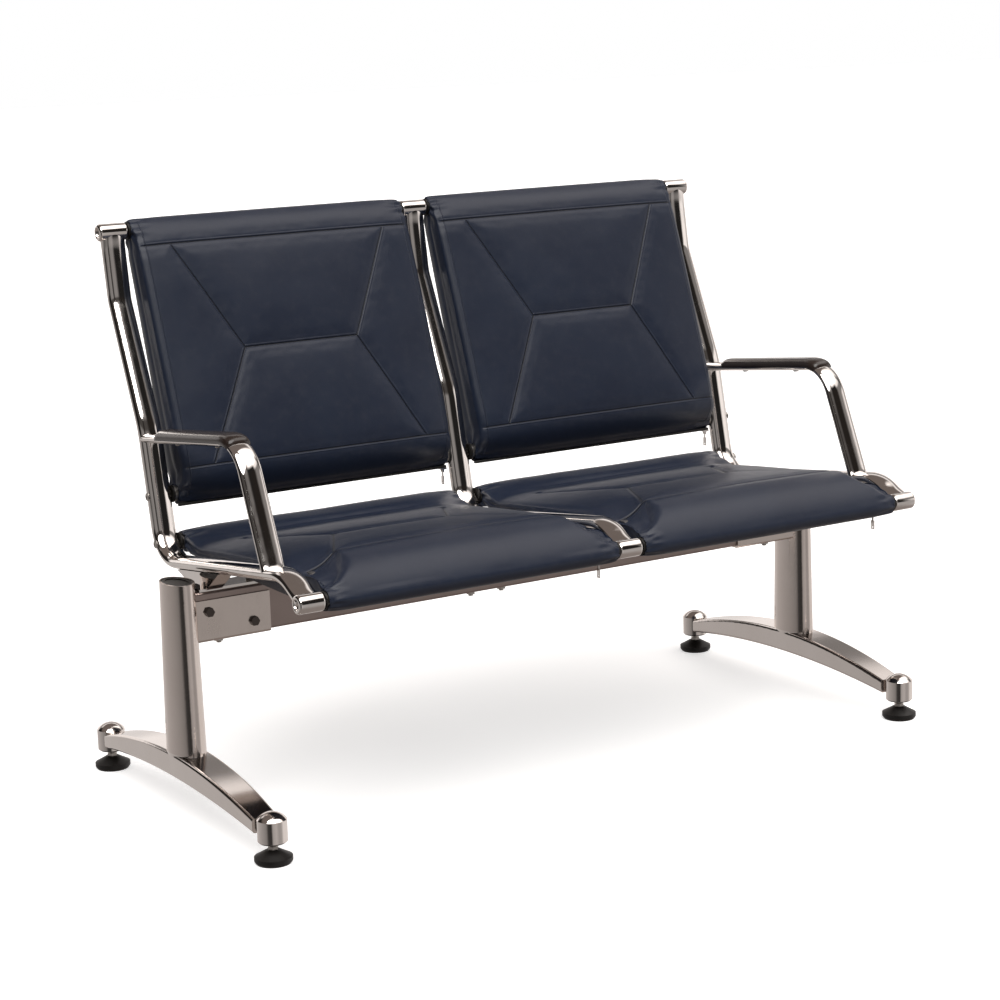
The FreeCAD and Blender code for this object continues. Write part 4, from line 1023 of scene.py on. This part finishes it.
def seam_height(finish, across, along, half_gap, width):
    """The pressed line and its lip, in metres, and how much of a point lies in the line's painted
    shade.
    """
    far = abs(along)
    length = math.hypot(WIDE - WAIST, half_gap)
    run = ((WIDE - WAIST) / length, half_gap / length)
    crossing = far - half_gap
    slanted = (across - WAIST) * run[1] - far * run[0]
    lines = [
        (crossing, finish.step(across, WIDE + 0.040, WIDE + 0.048, 1.0, 0.0)),
        (slanted, finish.step(far, half_gap - 0.004, half_gap, 1.0, 0.0)),
        (along, finish.step(across, WAIST - 0.001, WAIST + 0.001, 1.0, 0.0)),
    ]
    height, line = 0.0, 0.0
    for distance, there in lines:
        groove = finish.step(abs(distance), 0.0, width, 1.0, 0.0) * there
        lip = finish.step(abs(distance - width * 1.7), 0.0, width * 1.2, 1.0, 0.0) * there
        height = lip * LIP_HEIGHT - groove * GROOVE_DEPTH + height
        line = finish.math("MAXIMUM", groove, line)
    return height, line


def edge_height(finish, across, half):
    """The narrow ridge where the front panel is sewn to the side strip."""
    return finish.step(abs(across - (half - 0.0125)), 0.0, 0.0014, 1.0, 0.0) * RIDGE_HEIGHT


def leather(name, back):
    """The leather of a seat or of a back."""
    finish = Finish(name)
    where = finish.place()
    x, y, z = finish.parts(where)
    across = abs(abs(x) - abs(seat_front.x))
    if back:
        rise, stand = [finish.vector("DOT_PRODUCT", where, tuple(way), "Value")
                       - back_low.dot(way) for way in (back_rise, back_stand)]
        seams, line = seam_height(finish, across, rise - BACK_MIDDLE, BACK_GAP,
                                  BACK_GROOVE_WIDTH)
    else:
        slope = (rear[1] - front[1]) / (rear[0] - front[0])
        stand = z - (y - front[0]) * slope - front[1]
        seams, line = seam_height(finish, across, y - SEAT_MIDDLE, SEAT_GAP, SEAT_GROOVE_WIDTH)
    on_face = finish.step(stand, 0.006, 0.012)
    seams, line = seams * on_face, line * on_face
    grain = finish.step(finish.cells(where, 620), 0.0, 0.22)
    pores = finish.noise(where, 1500, 2)
    cloudy = finish.noise(where, 9, 4, 0.55)
    slack = finish.noise(where, 26, 2)
    patches = finish.noise(where, 60, 5, 0.65)
    tone = finish.blend(cloudy, (0.0055, 0.011, 0.030, 1), (0.013, 0.022, 0.046, 1))
    tone = finish.blend(finish.step(patches, 0.45, 0.8) * 0.35, tone, (0.026, 0.031, 0.050, 1))
    # Painted shade: the seam lines are darkened in the colour, standing in for the shade that falls
    # in the pressed groove.
    tone = finish.blend(line * 0.85, tone, (0.003, 0.004, 0.008, 1))
    rough = 0.36 + patches * 0.16 - grain * 0.04
    if back:
        seams = seams + edge_height(finish, across, back_half) * finish.step(stand, 0.010, 0.016)
    height = seams + grain * 0.00004 + pores * 0.00002 + slack * 0.0005
    return finish.surface(Base_Color=tone, Roughness=rough, Normal=finish.bump(height),
                          Specular_IOR_Level=0.45, Coat_Weight=0.10, Coat_Roughness=0.3)


seat_leather = leather("seat leather", False)
back_leather = leather("back leather", True)
for side in seat_centres:
    seats[side].data.materials.append(seat_leather)
    backs[side].data.materials.append(back_leather)
print("leather nodes", len(seat_leather.node_tree.nodes))

# %% [markdown]
# ## Metals
# Chrome is a mirror, so what makes it look right is what it mirrors. The plating gets only a
# slow ripple from the bent tube below it and a few faint wipe marks. The columns and feet are
# polished aluminium with drawn or cast texture, and the beam a satin brown-grey.


# %% Chrome
def chrome(name, colour, least, most, ripple):
    """Bright plating: colour, roughness between least and most, and a ripple in metres."""
    finish = Finish(name)
    where = finish.place()
    wiped = finish.noise(where, 14, 4, 0.6)
    streaks = finish.noise(where, 90, 4, 0.7, (1, 1, 0.25))
    marks = finish.step(wiped * 0.7 + streaks * 0.3, 0.42, 0.68)
    rough = marks * (most - least) + least
    height = finish.noise(where, 45, 1) * ripple + streaks * (ripple * 0.05)
    tone = finish.blend(marks * 0.5, colour, tuple(c * 0.86 for c in colour[:3]) + (1,))
    return finish.surface(Base_Color=tone, Metallic=1.0, Roughness=rough,
                          Normal=finish.bump(height))


def satin(name, colour, shade, least, most, stretch, grain):
    """A brushed or cast metal: two tones, a roughness range and a stretched fine grain."""
    finish = Finish(name)
    where = finish.place()
    cloud = finish.noise(where, 11, 4, 0.6)
    drawn = finish.noise(where, 700, 3, 0.6, stretch)
    tone = finish.blend(cloud, colour, shade)
    rough = cloud * (most - least) * 0.5 + drawn * (most - least) * 0.5 + least
    height = drawn * grain + finish.noise(where, 38, 2) * (grain * 6)
    return finish.surface(Base_Color=tone, Metallic=1.0, Roughness=rough,
                          Normal=finish.bump(height))


def moulded(name, colour, shade, least, most, grain, coat):
    """A plastic moulding with a fine grain."""
    finish = Finish(name)
    where = finish.place()
    cloud = finish.noise(where, 30, 4, 0.6)
    fine = finish.noise(where, 1100, 2)
    tone = finish.blend(cloud, colour, shade)
    rough = cloud * (most - least) + least
    height = fine * grain + finish.noise(where, 60, 2) * (grain * 4)
    return finish.surface(Base_Color=tone, Roughness=rough, Normal=finish.bump(height),
                          Coat_Weight=coat)


finishes = {
    "chrome": chrome("chrome plating", (0.90, 0.86, 0.83, 1), 0.035, 0.14, 0.00012),
    "column_metal": satin("column aluminium", (0.78, 0.71, 0.67, 1), (0.66, 0.59, 0.55, 1),
                          0.07, 0.20, (1, 1, 0.02), 0.000004),
    "foot_metal": satin("foot aluminium", (0.86, 0.81, 0.78, 1), (0.76, 0.70, 0.66, 1),
                        0.05, 0.17, (1, 0.2, 1), 0.000006),
    "beam_metal": satin("beam lacquer", (0.42, 0.345, 0.32, 1), (0.34, 0.275, 0.255, 1),
                        0.26, 0.42, (0.02, 1, 1), 0.000006),
    "socket_metal": chrome("socket plating", (0.78, 0.70, 0.65, 1), 0.10, 0.30, 0.00008),
    "inner_steel": satin("zinc steel", (0.60, 0.57, 0.54, 1), (0.36, 0.34, 0.31, 1),
                         0.22, 0.45, (1, 1, 1), 0.00002),
    "dark_steel": satin("blackened steel", (0.07, 0.06, 0.055, 1), (0.13, 0.11, 0.10, 1),
                        0.22, 0.40, (1, 1, 1), 0.00002),
    "arm_pad": moulded("pad moulding", (0.020, 0.013, 0.011, 1), (0.040, 0.028, 0.023, 1),
                       0.18, 0.32, 0.00002, 0.3),
    "black_plastic": moulded("black moulding", (0.004, 0.0035, 0.003, 1), (0.012, 0.010, 0.009, 1),
                             0.38, 0.58, 0.00004, 0.0),
}
slot_of = {entry["node"]: entry["material_slot"] for entry in frame["record"]["subparts"]}
for name, node in frame["nodes"].items():
    wanted = "socket_metal" if name.startswith("beam_socket") else slot_of[name]
    wanted = {"column_caps": "black_plastic", "socket_screws": "dark_steel"}.get(name, wanted)
    material = finishes.get(wanted, seat_leather)
    if not node.data.materials:
        node.data.materials.append(material)
    for number in range(len(node.material_slots)):
        node.material_slots[number].material = material
for piece, finish_name in made:
    piece.data.materials.append(finishes[finish_name])
print("finishes", len(finishes) + 2)

# %% [markdown]
# ## Floor and camera
# The camera stands where the photograph was taken from. Its place, turn, lift, roll and lens
# were worked out from the frames, feet and glides in the photograph.

# %% Floor and camera
CAMERA_PLACE = (-2.0675, -3.2690, 1.1832)
CAMERA_TURN, CAMERA_LIFT, CAMERA_ROLL = -32.0, 11.3, -1.8  # degrees
CAMERA_LENS = 88.44
bpy.ops.mesh.primitive_plane_add(size=60, location=(0, 0, 0))
floor = bpy.context.object
floor.name = "floor"
floor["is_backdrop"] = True
turn, lift, roll = [math.radians(a) for a in (CAMERA_TURN, CAMERA_LIFT, CAMERA_ROLL)]
towards = Vector((math.sin(turn) * math.cos(lift), -math.cos(turn) * math.cos(lift),
                  math.sin(lift)))
right = Vector((math.cos(turn), math.sin(turn), 0))
up = towards.cross(right)
tilted_right = right * math.cos(roll) + up * math.sin(roll)
tilted_up = up * math.cos(roll) - right * math.sin(roll)
camera_data = bpy.data.cameras.new("camera")
camera_data.lens = CAMERA_LENS
camera_data.sensor_width = 36
camera = placed("camera", camera_data)
camera.matrix_world = Matrix.Translation(CAMERA_PLACE) @ Matrix(
    (tilted_right, tilted_up, towards)).transposed().to_4x4()
scene.camera = camera
print("camera at", [round(v, 3) for v in camera.location])

# %% [markdown]
# ## Studio
# Chrome needs both light and dark to mirror. Seen from the camera, the studio is white behind
# the bench and to its right and dark to its left, with grey panels beside the camera. Above
# them runs a dark ring, and overhead there is a soft light over the right half. The floor is
# pale and lit by one large soft lamp, so its shadows stay faint. The metal mirrors the studio
# below the horizon in place of the floor, which would wash it out.

# %% Studio
scene.view_settings.view_transform = "Standard"
studio = Finish("studio", bpy.data.worlds.new("studio"))
scene.world = studio.owner
direction = studio.add("TexCoord", output="Generated")
ahead = (towards * Vector((1, 1, 0))).normalized()
angle = studio.math("ARCTAN2", studio.vector("DOT_PRODUCT", direction, tuple(right), "Value"),
                    studio.vector("DOT_PRODUCT", direction, tuple(ahead), "Value"))
around = angle / (2 * math.pi) + 0.5
upper_walls = studio.add("ValToRGB", {"stops": [
    (0.00, 1.0), (0.140, 1.0), (0.155, 0.02), (0.270, 0.010), (0.280, 0.22), (0.300, 0.22),
    (0.310, 0.008), (0.400, 0.008), (0.430, 0.20), (0.500, 0.26), (0.515, 0.04), (0.530, 0.04),
    (0.545, 0.24), (0.590, 0.26), (0.620, 0.015), (0.700, 0.015), (0.725, 1.0), (0.80, 1.0),
    (0.815, 0.25), (0.835, 0.25), (0.85, 1.0), (1.0, 1.0)]}, {0: around})
lower_walls = studio.add("ValToRGB", {"stops": [
    (0.00, 0.80), (0.08, 0.70), (0.14, 0.52), (0.22, 0.42), (0.32, 0.32), (0.39, 0.24),
    (0.43, 0.05), (0.50, 0.03), (0.53, 0.40), (0.60, 0.50), (0.66, 0.36), (0.72, 0.40),
    (0.77, 0.80), (1.0, 0.80)]}, {0: around})
_, _, height = studio.parts(direction)
walls = studio.blend(studio.step(height, -0.02, 0.10), lower_walls, upper_walls)
overhead = studio.step(height, 0.60, 0.74)
dark_ring = studio.step(abs(height - 0.44), 0.06, 0.15)
underfoot = studio.step(height, -0.80, -0.30, 1.0, 0.0)
light = studio.blend(underfoot, walls, (0.24, 0.22, 0.21, 1))
light = studio.blend(dark_ring * 0.8 + 0.2, (0.02, 0.017, 0.015, 1), light)
softbox = studio.step(around, 0.60, 0.66) * studio.step(around, 0.87, 0.92, 1.0, 0.0)
ceiling = studio.blend(softbox, (0.16, 0.14, 0.13, 1), (1.9, 1.89, 1.87, 1))
light = studio.blend(overhead, light, ceiling)
warm = studio.add("Mix", {"data_type": "RGBA", "blend_type": "MULTIPLY"},
                  {0: 1.0, 6: light, 7: (1.0, 0.945, 0.915, 1)}, 2)
seen = studio.add("LightPath", output="Is Camera Ray")
shown = studio.blend(seen, warm, (1.0, 1.0, 1.0, 1))
studio.add_output(studio.add("Background", None, {"Color": shown, "Strength": 1.0}))

lamp_data = bpy.data.lights.new("soft lamp", "SUN")
lamp_data.energy = 2.2
lamp_data.angle = math.radians(50)
lamp_data.color = (1.0, 0.98, 0.96)
lamp = placed("soft lamp", lamp_data)
lamp.rotation_euler = Vector((-0.35, -0.55, 1.0)).to_track_quat("Z", "Y").to_euler()

floor_finish = Finish("pale floor")
floor_place = floor_finish.place()
floor_tone = floor_finish.blend(floor_finish.noise(floor_place, 0.8, 3),
                                (0.90, 0.90, 0.895, 1), (0.93, 0.93, 0.93, 1))
floor.data.materials.append(floor_finish.surface(
    Base_Color=floor_tone, Roughness=0.7, Specular_IOR_Level=0.2,
    Emission_Color=(1, 1, 1, 1), Emission_Strength=0.6))
floor.visible_glossy = False
floor.visible_diffuse = False
print("studio nodes", len(studio.tree.nodes))

# %% [markdown]
# ## Finish
# The last cell prints the box of what shows.

# %% Finish
low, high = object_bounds()
print("visual box", [round(v, 4) for v in low], [round(v, 4) for v in high])
